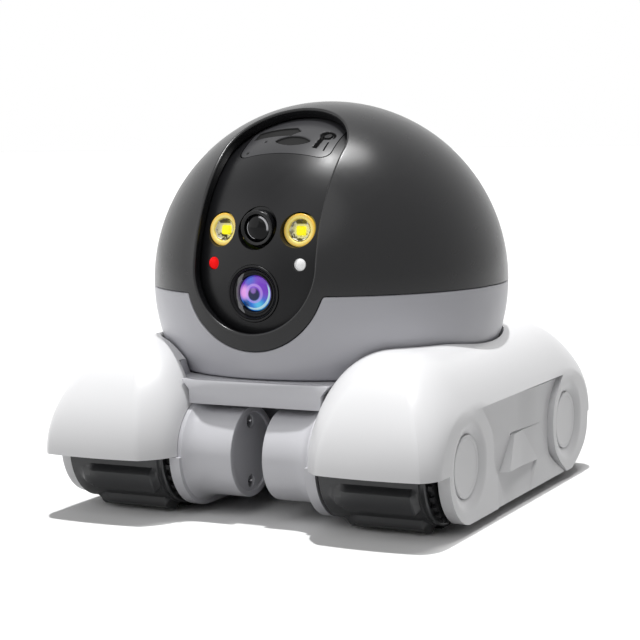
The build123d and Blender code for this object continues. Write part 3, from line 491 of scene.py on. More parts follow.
def cut(base, steps):
    """The base mesh after solid steps, each an operation and the mesh that it uses."""
    solid = bpy.data.objects.new("solid", base)
    bpy.context.collection.objects.link(solid)
    scratch = [solid]
    for operation, mesh in steps:
        tool = bpy.data.objects.new("tool", mesh)
        bpy.context.collection.objects.link(tool)
        scratch.append(tool)
        change = solid.modifiers.new(operation, "BOOLEAN")
        change.operation, change.object, change.solver = operation, tool, "MANIFOLD"
    bpy.context.view_layer.update()
    made = bpy.data.meshes.new_from_object(solid.evaluated_get(bpy.context.evaluated_depsgraph_get()))
    for item in scratch:
        bpy.data.objects.remove(item)
    return made


# Pods

POD_IN_X, POD_OUT_X = 18.5, 54.1
POD_NOSE_R, POD_TURN_Y, POD_BOW = 26.9, 33.1, 0.9
POD_WALL, POD_SIDE_WALL = 2.0, 3.1
SIDE_RING_R, SIDE_SHIFT, SIDE_BOTTOM_Z = 14.0, 2.0, 2.45
PANEL_TOP_Z, PANEL_DEPTH = 29.38, 2.1
WEDGE_LOW_Z, WEDGE_HIGH_Z, WEDGE_Y = 10.2, 18.5, -9.8
HUB_R = 7.67
HUB_HOLE_R = HUB_R + 0.1
HUB_Y = (FRONT_Y + 0.6, REAR_Y - 0.6)
DISH_R, DISH_DEPTH = 11.4, 1.45
BARREL_HOLE_R = 13.35
TUB_HALF, TUB_TOP_Z, TUB_FRONT_Y, TUB_REAR_Y = 20.6, 35.2, -22.7, 50.3
BOWL_BALL, BOWL_R, BOWL_RIM_Z, BOWL_FLOOR_Z = 47.75, 46.6, 38.95, 32.9
ACROSS = np.array([1.0, 0.0, 0.0])


def pod_form(x0, x1, thick, low):
    """Crown of a pod: one cross line of (x, depth under the side outline) carried up the nose by
    angle, along the top and down the back. Its corners open from the lip values to the shoulder
    values and its bow goes flat with sin squared of the angle. The floor is one flat face."""
    nose = np.radians(np.linspace(0, 90, 37))
    along = np.linspace(-POD_TURN_Y, POD_TURN_Y, 13)[1:-1]
    angle = np.concatenate([nose, np.full(len(along), np.pi / 2), nose[::-1]])
    pivot = np.concatenate([np.full(len(nose), -POD_TURN_Y), along, np.full(len(nose), POD_TURN_Y)])
    facing = np.concatenate([-np.ones(len(nose)), np.zeros(len(along)), np.ones(len(nose))])
    risen = np.sin(angle)[:, None] ** 2
    reach = POD_NOSE_R - thick

    def corner(lip_r, top_r, lip_wide, start, end):
        radius = lip_r + (top_r - lip_r) * risen - thick
        wide = lip_wide + (top_r - lip_wide) * risen - thick * 0.6 * risen
        bow = POD_BOW * (1 - risen)
        first, last = np.radians(start * risen), np.radians(end + (90 - end) * risen)
        turn = first + (last - first) * np.linspace(0, 1, 17)
        across = wide * (np.cos(first) - np.cos(turn)) / (np.cos(first) - np.cos(last))
        deep = radius - (radius - bow) * (np.sin(turn) - np.sin(first)) / (np.sin(last) - np.sin(first))
        return across, deep

    in_x, in_deep = corner(lip_r=11.0, top_r=14.5, lip_wide=6.0, start=0, end=39)
    out_x, out_deep = corner(lip_r=6.9, top_r=13.8, lip_wide=3.4, start=34, end=52)
    share = np.linspace(-1, 1, 19)[1:-1]
    left, right = x0 + in_x[:, -1:], x1 - out_x[:, -1:]
    crown_x = (left + right) / 2 + (right - left) / 2 * share
    crown_deep = POD_BOW * (1 - risen) * share ** 2
    foot = np.full((len(angle), 1), reach)
    x = np.hstack([np.full_like(foot, x0), x0 + in_x, crown_x, x1 - out_x[:, ::-1], np.full_like(foot, x1)])
    out = reach - np.hstack([foot, in_deep, crown_deep, out_deep[:, ::-1], foot])
    y = pivot[:, None] + (facing * np.cos(angle))[:, None] * out
    z = AXLE_Z + np.sin(angle)[:, None] * out
    if low:
        z[:, [0, -1]] -= low
        x, y = np.vstack([x[:1], x, x[-1:]]), np.vstack([y[:1], y, y[-1:]])
        under = np.full((1, z.shape[1]), AXLE_Z - low)
        z = np.vstack([under, z, under])
    return closed(np.stack([x, y, z], -1), grid(*x.shape).tolist() + [edge_of(*x.shape).tolist()])


def side_line(radius, top):
    """Outline of the outer wall under the lip: round a centre a little inside the front axle,
    straight along the bottom, and fuller at the rear, where it is read between a few heights and
    averaged over 2 mm, up to the lip's own end."""
    low = math.asin((AXLE_Z - SIDE_BOTTOM_Z) / radius)
    turn = np.linspace(np.pi, np.pi + low, 24)
    middle = FRONT_Y + SIDE_SHIFT
    front = np.column_stack([middle + radius * np.cos(turn), AXLE_Z + radius * np.sin(turn)])
    z = np.linspace(SIDE_BOTTOM_Z, AXLE_Z, 40)
    y = np.interp(z[:, None] + np.linspace(-1, 1, 9), [1.4, 3.2, 5.1, 7.1, 9.2, 11.4, 13.6, 17.4],
                  [35.6, 41.6, 45.6, 48.9, 51.1, 52.2, 52.7, 53.15]).mean(1)
    cap = [(y[-1] - 1.5, top), (middle - radius, top)]
    return np.vstack([front, np.column_stack([y, z]), cap])


def panel_sides(z):
    """Front and rear end of the sunk panel at that height: how far each wheel ring reaches from its
    axle, read between a few heights and averaged over 2 mm."""
    near = np.asarray(z)[:, None] + np.linspace(-1, 1, 9)
    front = np.interp(near, [1, 8, 10.75, 13, 15.2, 17.5, 20.2, 23, 26, 28.3, 29.4],
                      [19.2, 19.1, 18.7, 17.3, 16.4, 16.35, 16.2, 14.9, 12.2, 9.4, 8.8]).mean(1)
    rear = np.interp(near, [2.4, 3.2, 4, 6.2, 9, 12, 15, 18, 21, 23.5, 26.7, 28.2, 29.4],
                     [1.8, 2.8, 4.6, 7.8, 10.9, 12.4, 13.1, 13.15, 12.6, 11.3, 8.1, 6.2, 4.9]).mean(1)
    return FRONT_Y + front, REAR_Y - rear


def panel_line():
    """Outline of the sunk panel's opening: straight top, a ring's edge at each end."""
    z = np.linspace(SIDE_BOTTOM_Z - 0.8, PANEL_TOP_Z, 60)
    front, rear = panel_sides(z)
    return np.vstack([np.column_stack([front, z]), np.column_stack([rear, z])[::-1]])


def panel_rows():
    """Heights of the panel's rows, close together at its edges."""
    return np.concatenate([
        np.linspace(SIDE_BOTTOM_Z + 0.05, 9.9, 26), [10.16, 10.24], np.linspace(10.4, 18.3, 44),
        [18.38, 18.46, 18.54, 18.62, 18.74, 18.9, 19.05], np.linspace(19.4, 28.4, 22),
        [28.52, 28.58, 28.64, 28.7, PANEL_TOP_Z - 0.22]])


def panel_mesh():
    """Sunk panel with its wedge: rows of z between the two ring edges. The wedge is the least of a
    plane falling to the rear and the top and a steep front face, with a groove over it and one
    beside it. The foot leans out to the wall, but for a hollow under the wedge; the rear end rises
    and then sinks beside the wheel ring."""
    rows = panel_rows()
    front, rear = panel_sides(rows)
    y = (front + 0.06)[:, None] + (rear - front - 0.12)[:, None] * np.linspace(0, 1, 260)
    level = rows[:, None] + 0 * y
    lean = np.clip(1 - np.abs(level - WEDGE_LOW_Z) / 6, 0, 1)
    z = level - 0.046 * np.clip(y - WEDGE_Y, -3, 25) * lean
    plane = 2.05 - 0.099 * (level - WEDGE_LOW_Z) - 0.0827 * (y - WEDGE_Y)
    face = 0.93 * (y + 12.2 - 1.0787 * (level - 9.6))
    above = step(level, WEDGE_LOW_Z, 0.05)
    wedge = np.clip(np.minimum(plane, face), 0, None) * above * (1 - step(level, WEDGE_HIGH_Z, 0.1))
    groove = (0.7 * (1 - step(np.abs(level - 18.7), 0.14, 0.2)) * step(y, -3.4, 0.8)
              * np.clip(1 - (y + 2.6) / 20.8, 0, 1))
    beside = (0.35 * (1 - step(np.abs(face), 0.2, 0.3)) * step(-face, -0.05, 0.2)
              * step(level, 10.0, 0.6) * (1 - step(level, 18.6, 0.3)))
    under = (0.6 * (1 - above) * np.clip((level - 2.0) / 8, 0, 1) * step(y, -12.4, 0.3)
             * (1 - step(y - 1.1 * (level - 10), 14.0, 0.4)))
    risen = step(y, 8.0, 14.0)
    foot = (1.8 - 0.7 * risen) * np.clip((WEDGE_LOW_Z - level) / 7.8, 0, 1)
    sunk = 0.9 * step(level, 28.6, 0.12) + 0.6 * (1 - step(rear[:, None] - y, 0.5, 1.6)) - 0.7 * risen
    x = np.minimum(POD_OUT_X - PANEL_DEPTH + wedge + foot - groove - beside - under - sunk, POD_OUT_X - 0.02)
    return slab(np.stack([x, y, z], -1), np.stack([np.full_like(x, POD_OUT_X - 3.2), y, z], -1))


def pod_cover_mesh():
    """Crown and side wall as one shell, opened for the barrel, the tub and the head's bowl, with the
    sunk panel, the hub holes and a dish round each hub, whose depth falls with the power 2.2 of
    the way that is left to its edge."""
    crown = pod_form(POD_IN_X, POD_OUT_X, 0.0, 0.0)
    hollow = pod_form(POD_IN_X + POD_WALL, POD_OUT_X - POD_SIDE_WALL, POD_WALL, 1.0)
    skirt = extruded(side_line(SIDE_RING_R, AXLE_Z + 4.0), POD_OUT_X - POD_SIDE_WALL, POD_OUT_X)
    dish_r = np.linspace(HUB_HOLE_R, DISH_R, 26)
    dish_x = POD_OUT_X - DISH_DEPTH * (1 - (dish_r - HUB_HOLE_R) / (DISH_R - HUB_HOLE_R)) ** 2.2
    dish = np.vstack([[(0.0, dish_x[0])], np.column_stack([dish_r, dish_x]),
                      [(DISH_R, POD_OUT_X + 2), (0.0, POD_OUT_X + 2)]])
    z = np.linspace(BOWL_RIM_Z, HEAD[2], 40)
    ball = np.sqrt(BOWL_BALL ** 2 - (HEAD[2] - z) ** 2)
    bowl = np.vstack([[(0, BOWL_FLOOR_Z), (BOWL_R, BOWL_FLOOR_Z), (BOWL_R, BOWL_RIM_Z)],
                      np.column_stack([ball, z]), [(BOWL_BALL, 80), (0, 80)]])
    tub = np.array([(TUB_FRONT_Y, 0), (TUB_REAR_Y, 0), (TUB_REAR_Y, TUB_TOP_Z), (TUB_FRONT_Y, TUB_TOP_Z)])
    openings = [hollow, extruded(circle(FRONT_Y, AXLE_Z, BARREL_HOLE_R), 0.0, 46.0),
                extruded(tub, 0.0, TUB_HALF), turned(bowl, (0, HEAD[1], 0), (0, 0, 1), 256),
                extruded(panel_line(), POD_OUT_X - 3.6, POD_OUT_X + 5)]
    for y in HUB_Y:
        hole = circle(y, AXLE_Z, HUB_HOLE_R, 128)
        openings += [turned(dish, (0, y, AXLE_Z), ACROSS, 128), extruded(hole, POD_OUT_X - 5, POD_OUT_X + 5)]
    return cut(crown, [("UNION", skirt)] + [("DIFFERENCE", opening) for opening in openings])


def hub_cap_mesh():
    """Two flat caps in their holes, each with a narrow rim and a low step inside it."""
    face, rim, bore, back = POD_OUT_X - 0.95, HUB_R - 0.02, 2.06, 51.3
    profile = eased([(0, face - 0.08), (6.45, face - 0.08), (6.6, face), (rim, face), (rim, back + 0.7),
                     (HUB_R - 1.0, back), (bore, back), (bore, face - 0.8), (0, face - 0.8)], 0.12, 3)
    return join([turned(profile, (0, y, AXLE_Z), ACROSS, 128) for y in HUB_Y])


# Motor barrels and the bar over them

BARREL_R, BARREL_BORE, BARREL_END_X, FLARE_X, FLARE_LONG = 11.45, 9.95, 4.35, 11.4, 6.0


def motor_housing_mesh():
    """Barrel turned about the front axle: a thin rounded rim, a straight wall and a hollow flare whose
    extra radius grows with the cube of the way to the side frame."""
    way = np.linspace(0, 1, 14)
    flare = np.column_stack([BARREL_R + 1.68 * way ** 3, FLARE_X + FLARE_LONG * way])
    rim = eased([(BARREL_BORE, 9.0), (BARREL_BORE, BARREL_END_X), (BARREL_R, BARREL_END_X), (BARREL_R, 9.0)],
                0.22, 4)
    profile = np.vstack([[(BARREL_BORE, FLARE_X + FLARE_LONG)], rim, flare])
    return turned(profile, (0, FRONT_Y, AXLE_Z), ACROSS, 160)


def fascia_mesh():
    """Bar with notched ends: its outline of (x, z) carried back from the front face, which is pulled
    in a little all round so that the edges catch light."""
    half = eased([(0, 28.8), (18.35, 28.8), (18.5, 32.4), (20.65, 34.9), (0, 34.9)], 0.25, 3)
    outline = np.vstack([half, (half * [-1, 1])[::-1][1:-1]])
    inner = np.sign(outline) * 0.12 * (np.abs(outline) > 1)
    inner[:, 1] = np.where(outline[:, 1] > 31.5, 0.12, -0.12)
    levels = [(-43.8, outline - inner), (-43.68, outline), (-41.2, outline)]
    rings = [np.column_stack([line[:, 0], np.full(len(line), y), line[:, 1]]) for y, line in levels]
    return capped(rings, -1)


# Track belt

BELT_IN_X, BELT_OUT_X = 22.4, 48.6
BELT_R, BELT_BORE, SKIRT_BORE = 14.3, 12.5, 13.6
LUGS, LUG_HEIGHT, FIRST_LUG = 22, 2.0, 0.72


def belt_mesh(start):
    """Closed band round both wheels, from X = start on. Its outside rises by the lug height, the least
    of the slopes from a lug's long sides, its pointed end and its blunt end, whose corners are cut
    off. A thin skirt before the start covers the wheel's flange."""
    straight = REAR_Y - FRONT_Y
    bend = np.pi * BELT_R
    lap = 2 * (straight + bend)
    pitch = lap / LUGS
    lines = np.array([-5.2, -3.9, -3.6, -3.0, -2.55, -2.4, -1.2, 0.0, 1.2, 2.2, 2.4, 2.6, 3.1, 3.5, 4.2, 4.9])
    along = ((np.arange(LUGS) + FIRST_LUG)[:, None] * pitch + lines).ravel()
    across = np.array([-1.5, -1.3, -0.9, 0.35, 1.0, 1.5, 2.0, 2.6, 3.2, 4.0, 5.0, 6.2, 7.6, 9.0, 12.0, 15.0,
                       18.0, 19.8, 21.0, 21.6, 22.0, 22.4, 22.8, 23.0, 23.3, 23.7, 24.1, 24.5, 24.7, 24.9,
                       25.85, 26.2])
    s, x = np.meshgrid(along, across, indexing="ij")
    near = np.abs((s / pitch - FIRST_LUG + 0.5) % 1.0 - 0.5) * pitch
    half = 3.7 * np.clip((x - 0.9) / 4.6, 0, 1) ** 0.7
    corner = np.clip((23.9 - x - 0.8 * np.clip(near - 2.2, 0, None)) / 0.7, 0, 1)
    rise = np.minimum.reduce([(half - near) / 1.25, np.clip((x - 0.9) / 2.2, 0, 1), corner])
    edges = 0.35 * ((x < -1.4) | (x > 26.0)) + 0.4 * ((x > 24.6) & (x < 25.0))
    outside = BELT_R + LUG_HEIGHT * np.clip(rise, 0, 1) - edges
    under = np.array([(26.0, BELT_BORE), (13.1, BELT_BORE), (0.2, BELT_BORE), (0.1, SKIRT_BORE),
                      (-1.4, SKIRT_BORE)])
    x = np.hstack([x, np.tile(under[:, 0], (len(along), 1))])
    radius = np.hstack([outside, np.tile(under[:, 1], (len(along), 1))])
    # The turn starts over the front axle, goes down its front, back below, up and forward on top
    s = s[:, :1] % lap
    turn = (np.clip(s, 0, bend) + np.clip(s - bend - straight, 0, bend)) / BELT_R
    run = np.clip(s - bend, 0, straight) - np.clip(s - (lap - straight), 0, straight)
    y = FRONT_Y + run - np.sin(turn) * radius
    z = AXLE_Z + np.cos(turn) * radius
    return closed(np.stack([start + x, y, z], -1), grid(*x.shape, True, True))


# Head shells, in the head's own frame with its centre at the origin

HEAD_R, SHELL_R = 47.0, 44.4
SLOT_HALF, SLOT_ROUND = 16.6, 0.8
SLOT_LOW, SLOT_HIGH = np.radians(8.9), np.radians(52.9)
FLOOR_Z = -21.5
TONGUE_UP = 5.1
FACING = np.radians(30.9)


def slot_ring(ball, half):
    """Outline of the eye's slot on a sphere: a disc's edge at its high and low latitude, joined by
    the two lines at x = half and x = -half."""
    angle = np.linspace(0, np.pi, 150, endpoint=False)
    lat = np.linspace(SLOT_HIGH, SLOT_LOW, 100, endpoint=False)
    out = math.sqrt(ball ** 2 - half ** 2)

    def end(latitude, turn):
        rise, c, s = half * np.sin(turn), math.cos(latitude), math.sin(latitude)
        return np.column_stack([half * np.cos(turn), -out * c + rise * s, out * s + rise * c])

    def side(x, way):
        return np.column_stack([np.full(len(way), x), -out * np.cos(way), out * np.sin(way)])

    return np.vstack([end(SLOT_HIGH, angle), side(-half, lat), end(SLOT_LOW, angle + np.pi),
                      side(half, SLOT_LOW + SLOT_HIGH - lat)])


def seam_height(x, y, ball, drop, tongue):
    """Height of the seam over a point of the sphere: level all round, but down to the tongue's circle
    at the front, where that longitude meets it, the two joined by a smooth least value."""
    square = (x / np.hypot(x, y)) ** 2
    inside = 4 * TONGUE_UP ** 2 - 4 * (1 - square) * (ball ** 2 * square + TONGUE_UP ** 2 - tongue ** 2)
    low = (2 * TONGUE_UP - np.sqrt(np.maximum(inside, 0))) / np.maximum(2 * (1 - square), 1e-6)
    low = np.where((inside > 0) & (y < 0), low, 5.0)
    return (low - drop - np.sqrt((low + drop) ** 2 + 1.0)) / 2


def upper_shell_mesh():
    """Rings between the slot's outline and the seam: each follows great circles from the slot's
    middle, first out over the dome, round the seam's edge, back on the inside and up the slot wall."""
    middle = np.array([0.0, -math.cos(FACING), math.sin(FACING)])
    rise = np.array([0.0, math.sin(FACING), math.cos(FACING)])

    def ways(ring):
        way = ring / np.linalg.norm(ring, axis=1)[:, None]
        return np.arctan2(way @ rise, way[:, 0]), np.arccos(way @ middle)

    def at(ball, turn, reach):
        out = np.cos(turn)[:, None] * ACROSS + np.sin(turn)[:, None] * rise
        return ball * (np.cos(reach)[:, None] * middle + np.sin(reach)[:, None] * out)

    def seam(ball, turn, start):
        share, below_seam = np.linspace(0, 1, 1600), 2.75
        reach = start[:, None] + (below_seam - start[:, None]) * share
        spots = at(ball, np.repeat(turn, len(share)), reach.ravel()).reshape(len(turn), len(share), 3)
        over = spots[..., 2] - seam_height(spots[..., 0], spots[..., 1], ball, 0.3, 19.4)
        after = np.argmax(over < 0, axis=1)
        pick = np.arange(len(turn))
        a, b = over[pick, after - 1], over[pick, after]
        return reach[pick, after - 1] + (reach[pick, after] - reach[pick, after - 1]) * a / (a - b)

    turn, start = ways(slot_ring(HEAD_R, SLOT_HALF + SLOT_ROUND))
    far = seam(HEAD_R, turn, start)
    shares = (1 - np.cos(np.linspace(0, np.pi, 60))) / 2
    rings = [at(HEAD_R, turn, start + (far - 0.2 / HEAD_R - start) * share) for share in shares]
    rings.append(at(HEAD_R - 0.2, turn, far))
    turn, start = ways(slot_ring(SHELL_R, SLOT_HALF))
    far = seam(SHELL_R, turn, start)
    rings += [at(SHELL_R, turn, start + (far - start) * share) for share in np.linspace(1, 0, 24)[:-1]]
    rings += [slot_ring(ball, SLOT_HALF) for ball in (SHELL_R, SHELL_R + 0.9, HEAD_R - SLOT_ROUND)]
    rings += [slot_ring(HEAD_R - SLOT_ROUND * (1 - c), SLOT_HALF + SLOT_ROUND * (1 - s))
              for c, s in ((math.cos(a), math.sin(a)) for a in np.radians([75, 60, 45, 30, 15]))]
    return closed(np.stack(rings) + HEAD, grid(len(rings), rings[0].shape[0], True, True))


def lower_shell_mesh():
    """Rings from the seam down to the floor: x and y from longitude and height on the sphere, the
    height sliding between the seam's and the floor's."""
    front = np.radians(np.linspace(-34, 34, 420))
    back = np.radians(np.linspace(34, 326, 240)[1:-1])
    turn = np.concatenate([front, back])

    def at(ball, z):
        flat = np.sqrt(ball ** 2 - z ** 2)
        return np.column_stack([flat * np.sin(turn), -flat * np.cos(turn), z])

    outer, inner = (seam_height(np.sin(turn), -np.cos(turn), ball, 0.4, 19.5) for ball in (HEAD_R, SHELL_R))
    top, low = outer - 0.2, FLOOR_Z + 0.35
    rings = [at(HEAD_R - 0.2, outer)]
    rings += [at(HEAD_R, top + (low - top) * share) for share in np.linspace(0, 1, 30)]
    rings.append(at(HEAD_R - 0.35, np.full(len(turn), FLOOR_Z)))
    rings += [at(SHELL_R, inner + (FLOOR_Z - inner) * share) for share in np.linspace(1, 0, 12)]
    return closed(np.stack(rings) + HEAD, grid(len(rings), len(turn), True, True))


# Face of the eye

EYE_R = 44.0
PLATE_MID = np.radians(65.25)
PLATE_HALF, PLATE_REACH, PLATE_CORNER = 12.64, 11.06, 3.0
KEY_X, KEY_LAT = 9.5, 62.6
DOT_X, DOT_RISE, DOT_R = 11.9, 7.15, 1.5
FRONT = (0.0, -1.0, 0.0)


def plate_depth(x, lat):
    """Depth of the service plate's details in mm at x and latitude: two pointed finger recesses, a
    keyhole with its ring and bar, a fine line and two small marks."""
    def spot(cx, clat):
        return x - cx, EYE_R * np.radians(lat - clat)

    dx, dy = spot(1.3, 57.6)
    wide = 2.05 * np.clip(1 - (dx / 4.9) ** 2, 0, None) ** 0.75
    leaf = wide - np.abs(dy) - 0.3 * step(np.abs(dx), 4.8, 0.3)
    dx, dy = spot(-3.6, 63.4)
    band = np.minimum(2.1 - np.abs(dy), np.minimum(5.4 - dx - 0.9 * np.abs(dy), dx + 7.6))
    away = np.hypot(*spot(KEY_X, KEY_LAT))
    dx, dy = spot(8.45, 57.9)
    bar = np.minimum(0.55 - np.abs(dx - 0.09 * dy), 2.6 - np.abs(dy))
    dx, dy = spot(10.7, 56.4)
    line = np.minimum(0.14 - np.abs(dx), 1.9 - np.abs(dy))
    marks = [0.3 * (1 - step(np.hypot(*spot(*mark)), 0.42, 0.2)) for mark in ((-6.6, 57.8), (-10.4, 52.6))]
    return np.maximum.reduce([
        0.5 * step(leaf, 0.0, 0.3), 0.5 * step(band, 0.0, 0.3), 0.7 * (1 - step(away, 1.95, 0.2)),
        1.5 * (1 - step(away, 1.6, 0.2)), step(bar, 0.0, 0.15), 0.45 * step(line, 0.0, 0.12), *marks])


def service_plate_mesh():
    """Rounded rectangle on the ball: grid of x and v, its half width cut in by the corner radius near
    the ends, out to the sphere's radius less the depth of the details; the back is a plain sphere."""
    share = np.linspace(-1, 1, 150)
    v = PLATE_REACH * (0.75 * share + 0.25 * np.sin(share * np.pi / 2))
    curl = np.clip(np.abs(v) - (PLATE_REACH - PLATE_CORNER), 0, PLATE_CORNER)
    half = PLATE_HALF - PLATE_CORNER + np.sqrt(PLATE_CORNER ** 2 - curl ** 2)
    x = half[:, None] * np.linspace(-1, 1, 190)
    v = v[:, None] + 0 * x
    out = np.array([0.0, -math.cos(PLATE_MID), math.sin(PLATE_MID)])
    rise = np.array([0.0, math.sin(PLATE_MID), math.cos(PLATE_MID)])
    lat = np.degrees(PLATE_MID + np.arctan2(v, np.sqrt(EYE_R ** 2 - x ** 2 - v ** 2)))

    def sheet(ball):
        far = np.sqrt(ball ** 2 - x ** 2 - v ** 2)
        return HEAD + x[..., None] * ACROSS + v[..., None] * rise + far[..., None] * out

    return slab(sheet(EYE_R - 0.03 - plate_depth(x, lat)), sheet(EYE_R - 2.0))


def on_face(x, z):
    """Point at that x and height over the head's centre, on its middle plane."""
    return HEAD + np.array([x, 0.0, z])


def lens_bezel_mesh():
    """Ring round the lens: rounded outer edge, a fine groove, a cone down to the lens."""
    bore, rim, face, back = 5.75, 7.05, 43.75, 38.6
    return turned(eased([(bore, 40.0), (bore, 43.0), (6.25, face), (6.3, face), (6.38, face - 0.3),
                         (6.5, face), (6.95, face), (rim, face - 0.3), (rim, back), (bore, back),
                         (bore, 40.0)], 0.08, 2), on_face(0, 0), FRONT, 128)


def lens_barrel_mesh():
    """Black barrel in the bezel: two steps down to the glass, closed behind."""
    return turned(eased([(0, 41.0), (LENS_R + 0.02, 41.0), (LENS_R + 0.02, 43.0), (5.0, 43.2), (5.1, 42.9),
                         (5.68, 43.1), (5.68, 30.5), (0, 30.5)], 0.08, 2), on_face(0, 0), FRONT, 96)


def lens_glass_mesh():
    """Front element: a cap of a sphere of radius 9.4 with an upright rim."""
    r = np.linspace(0, LENS_R, 24)
    bulge = 43.35 - (9.4 - np.sqrt(9.4 ** 2 - r ** 2))
    return turned(np.vstack([np.column_stack([r, bulge]), [(LENS_R, 41.1), (0, 41.1)]]),
                  on_face(0, 0), FRONT, 96)


def lamp_axis(x):
    """Direction of a lamp: turned out by 5 degrees and up by 9."""
    return unit((math.copysign(0.087, x), -1.0, 0.158))


def lamp_spot(x):
    """Middle of a lamp's ring, a little under the ball."""
    surface = math.sqrt(EYE_R ** 2 - x ** 2 - LAMP_RISE ** 2)
    return HEAD + np.array([x, 0.97 - surface, LAMP_RISE - 0.1])


def lamp_ring_mesh(x):
    """Flat ring of a lamp just under the ball, turned about the lamp's own axis."""
    return turned(eased([(2.86, -1.9), (2.86, -0.3), (3.0, -0.06), (4.0, 0.0), (4.12, -0.2), (4.12, -4.0),
                         (2.86, -4.0), (2.86, -1.9)], 0.1, 3), lamp_spot(x), lamp_axis(x), 96)


def lamp_bowl_mesh(x):
    """Bright facetted bowl in the ring, its flats between eight edges, down to the chip."""
    profile = [(0, -1.75), (1.5, -1.75), (1.75, -1.6), (2.4, -1.0), (2.84, -0.34), (2.84, -2.4), (0, -2.4)]
    return turned(profile, lamp_spot(x), lamp_axis(x), 96, 8, 0.09)


def lamp_chip_mesh(x):
    """Square chip with rounded corners: |a|^6 + |b|^6 = 1 carried out along the lamp's axis, its face
    a little pillowed."""
    axis = lamp_axis(x)
    first = unit(np.cross((0.0, 0.0, 1.0), axis))
    second = np.cross(axis, first)
    angle = np.linspace(0, 2 * np.pi, 64, endpoint=False)
    c, s = np.cos(angle), np.sin(angle)
    round_square = (np.abs(c) ** 6 + np.abs(s) ** 6) ** (-1 / 6)
    shape = round_square[:, None] * (c[:, None] * first + s[:, None] * second)
    half = CHIP / 2
    rings = [(0, -1.74), (half, -1.74), (half, -1.0), (half - 0.08, -0.9), (half - 0.5, -0.85), (0, -0.83)]
    points = [lamp_spot(x) + axis * out + wide * shape for wide, out in rings]
    return closed(np.stack(points), grid(len(rings), 64, False, True))


def sensor_barrel_mesh():
    """Short barrel standing proud of its hole, with a rounded rim and a narrow inner ledge."""
    profile = eased([(3.45, -1.0), (3.45, -0.25), (3.95, -0.05), (4.2, 0.0), (4.4, -0.25), (4.4, -3.0),
                     (5.2, -3.0), (5.2, -3.8), (3.45, -3.8), (3.45, -1.0)], 0.12, 3)
    return turned(profile + [0.0, SENSOR_FRONT], on_face(0, SENSOR_RISE), FRONT, 128)


def sensor_window_mesh():
    """Low glossy dome in the barrel: a cap of a sphere of radius 6."""
    r = np.linspace(0, 3.44, 22)
    top = SENSOR_FRONT + 0.1 - (6.0 - np.sqrt(36.0 - r ** 2))
    back = SENSOR_FRONT - 3.7
    return turned(np.vstack([np.column_stack([r, top]), [(3.44, back), (0, back)]]),
                  on_face(0, SENSOR_RISE), FRONT, 96)


def dot_mesh(x):
    """Small round window, domed by the square of the radius, straight in from the ball's surface."""
    surface = math.sqrt(EYE_R ** 2 - x ** 2 - DOT_RISE ** 2)
    r = np.linspace(0, DOT_R, 12)
    top = surface + 0.05 - 0.35 * (r / DOT_R) ** 2
    return turned(np.vstack([np.column_stack([r, top]), [(DOT_R, 36.8), (0, 36.8)]]),
                  on_face(x, DOT_RISE), FRONT, 48)


def reset_button_mesh():
    """Small round button with a low step, along the line out of the ball at its latitude."""
    lat = math.radians(KEY_LAT)
    face = math.sqrt(EYE_R ** 2 - KEY_X ** 2) - 0.15
    profile = eased([(0, face), (1.05, face), (1.1, face - 0.5), (1.4, face - 0.55), (1.4, face - 3.5),
                     (2.3, face - 3.6), (2.3, face - 4.2), (0, face - 4.2)], 0.1, 3)
    return turned(profile, HEAD + KEY_X * ACROSS, (0.0, -math.cos(lat), math.sin(lat)), 48)


def place_both(name, finish, mesh, node, **how):
    """Places the right piece and its mirror image on the left."""
    place("right_" + name, finish, mesh, "right_" + node, **how)
    place("left_" + name, finish, flipped(mesh), "left_" + node, **how)


place_both("pod_crown", pod_white, pod_cover_mesh(), "pod_cover", weighted=True)
place_both("hub_pair", pod_white, hub_cap_mesh(), "hub_caps")
place_both("motor_barrel", frame_grey, motor_housing_mesh(), "motor_housing", crease=40)
place("front_bar", frame_grey, fascia_mesh(), "front_fascia", crease=40)
place_both("wall_panel", panel_white_painted_shade, panel_mesh(), "side_insert", crease=20)
place("right_tread_belt", rubber, belt_mesh(BELT_IN_X), "right_track", crease=25)
place("left_tread_belt", rubber, belt_mesh(-BELT_OUT_X), "left_track", crease=25)
place("head_dome", dome_black, upper_shell_mesh(), "upper_shell", crease=50)
place("head_lower_band", lower_grey, lower_shell_mesh(), "lower_shell", crease=50)
place("service_plate_face", plate_black_shaded_recesses, service_plate_mesh(), "service_plate", crease=40)
place("lens_front_ring", eye_black, lens_bezel_mesh(), "lens_bezel")
place("lens_inner_barrel", barrel_painted_reflection, lens_barrel_mesh(), "lens_barrel")
place("lens_front_element", lens_painted_glow, lens_glass_mesh(), "lens_glass")
for side_name, lamp_x in (("left", -LAMP_X), ("right", LAMP_X)):
    cup = side_name + "_lamp_cup"
    place(side_name + "_lamp_ring", lamp_ring_painted_glow, lamp_ring_mesh(lamp_x), cup)
    place(side_name + "_lamp_bowl", bowl_painted_reflections, lamp_bowl_mesh(lamp_x), cup, crease=15)
place("lamp_chip_pair", chip_yellow, join([lamp_chip_mesh(-LAMP_X), lamp_chip_mesh(LAMP_X)]), "lamp_chips")
place("sensor_front_barrel", barrel_black, sensor_barrel_mesh(), "sensor_dome")
place("sensor_window", sensor_black, sensor_window_mesh(), "sensor_dome")
place("red_dot_window", dot_red, dot_mesh(-DOT_X), "red_indicator")
place("white_dot_window", dot_white, dot_mesh(DOT_X), "white_sensor")
place("reset_key", eye_black, reset_button_mesh(), "reset_button")

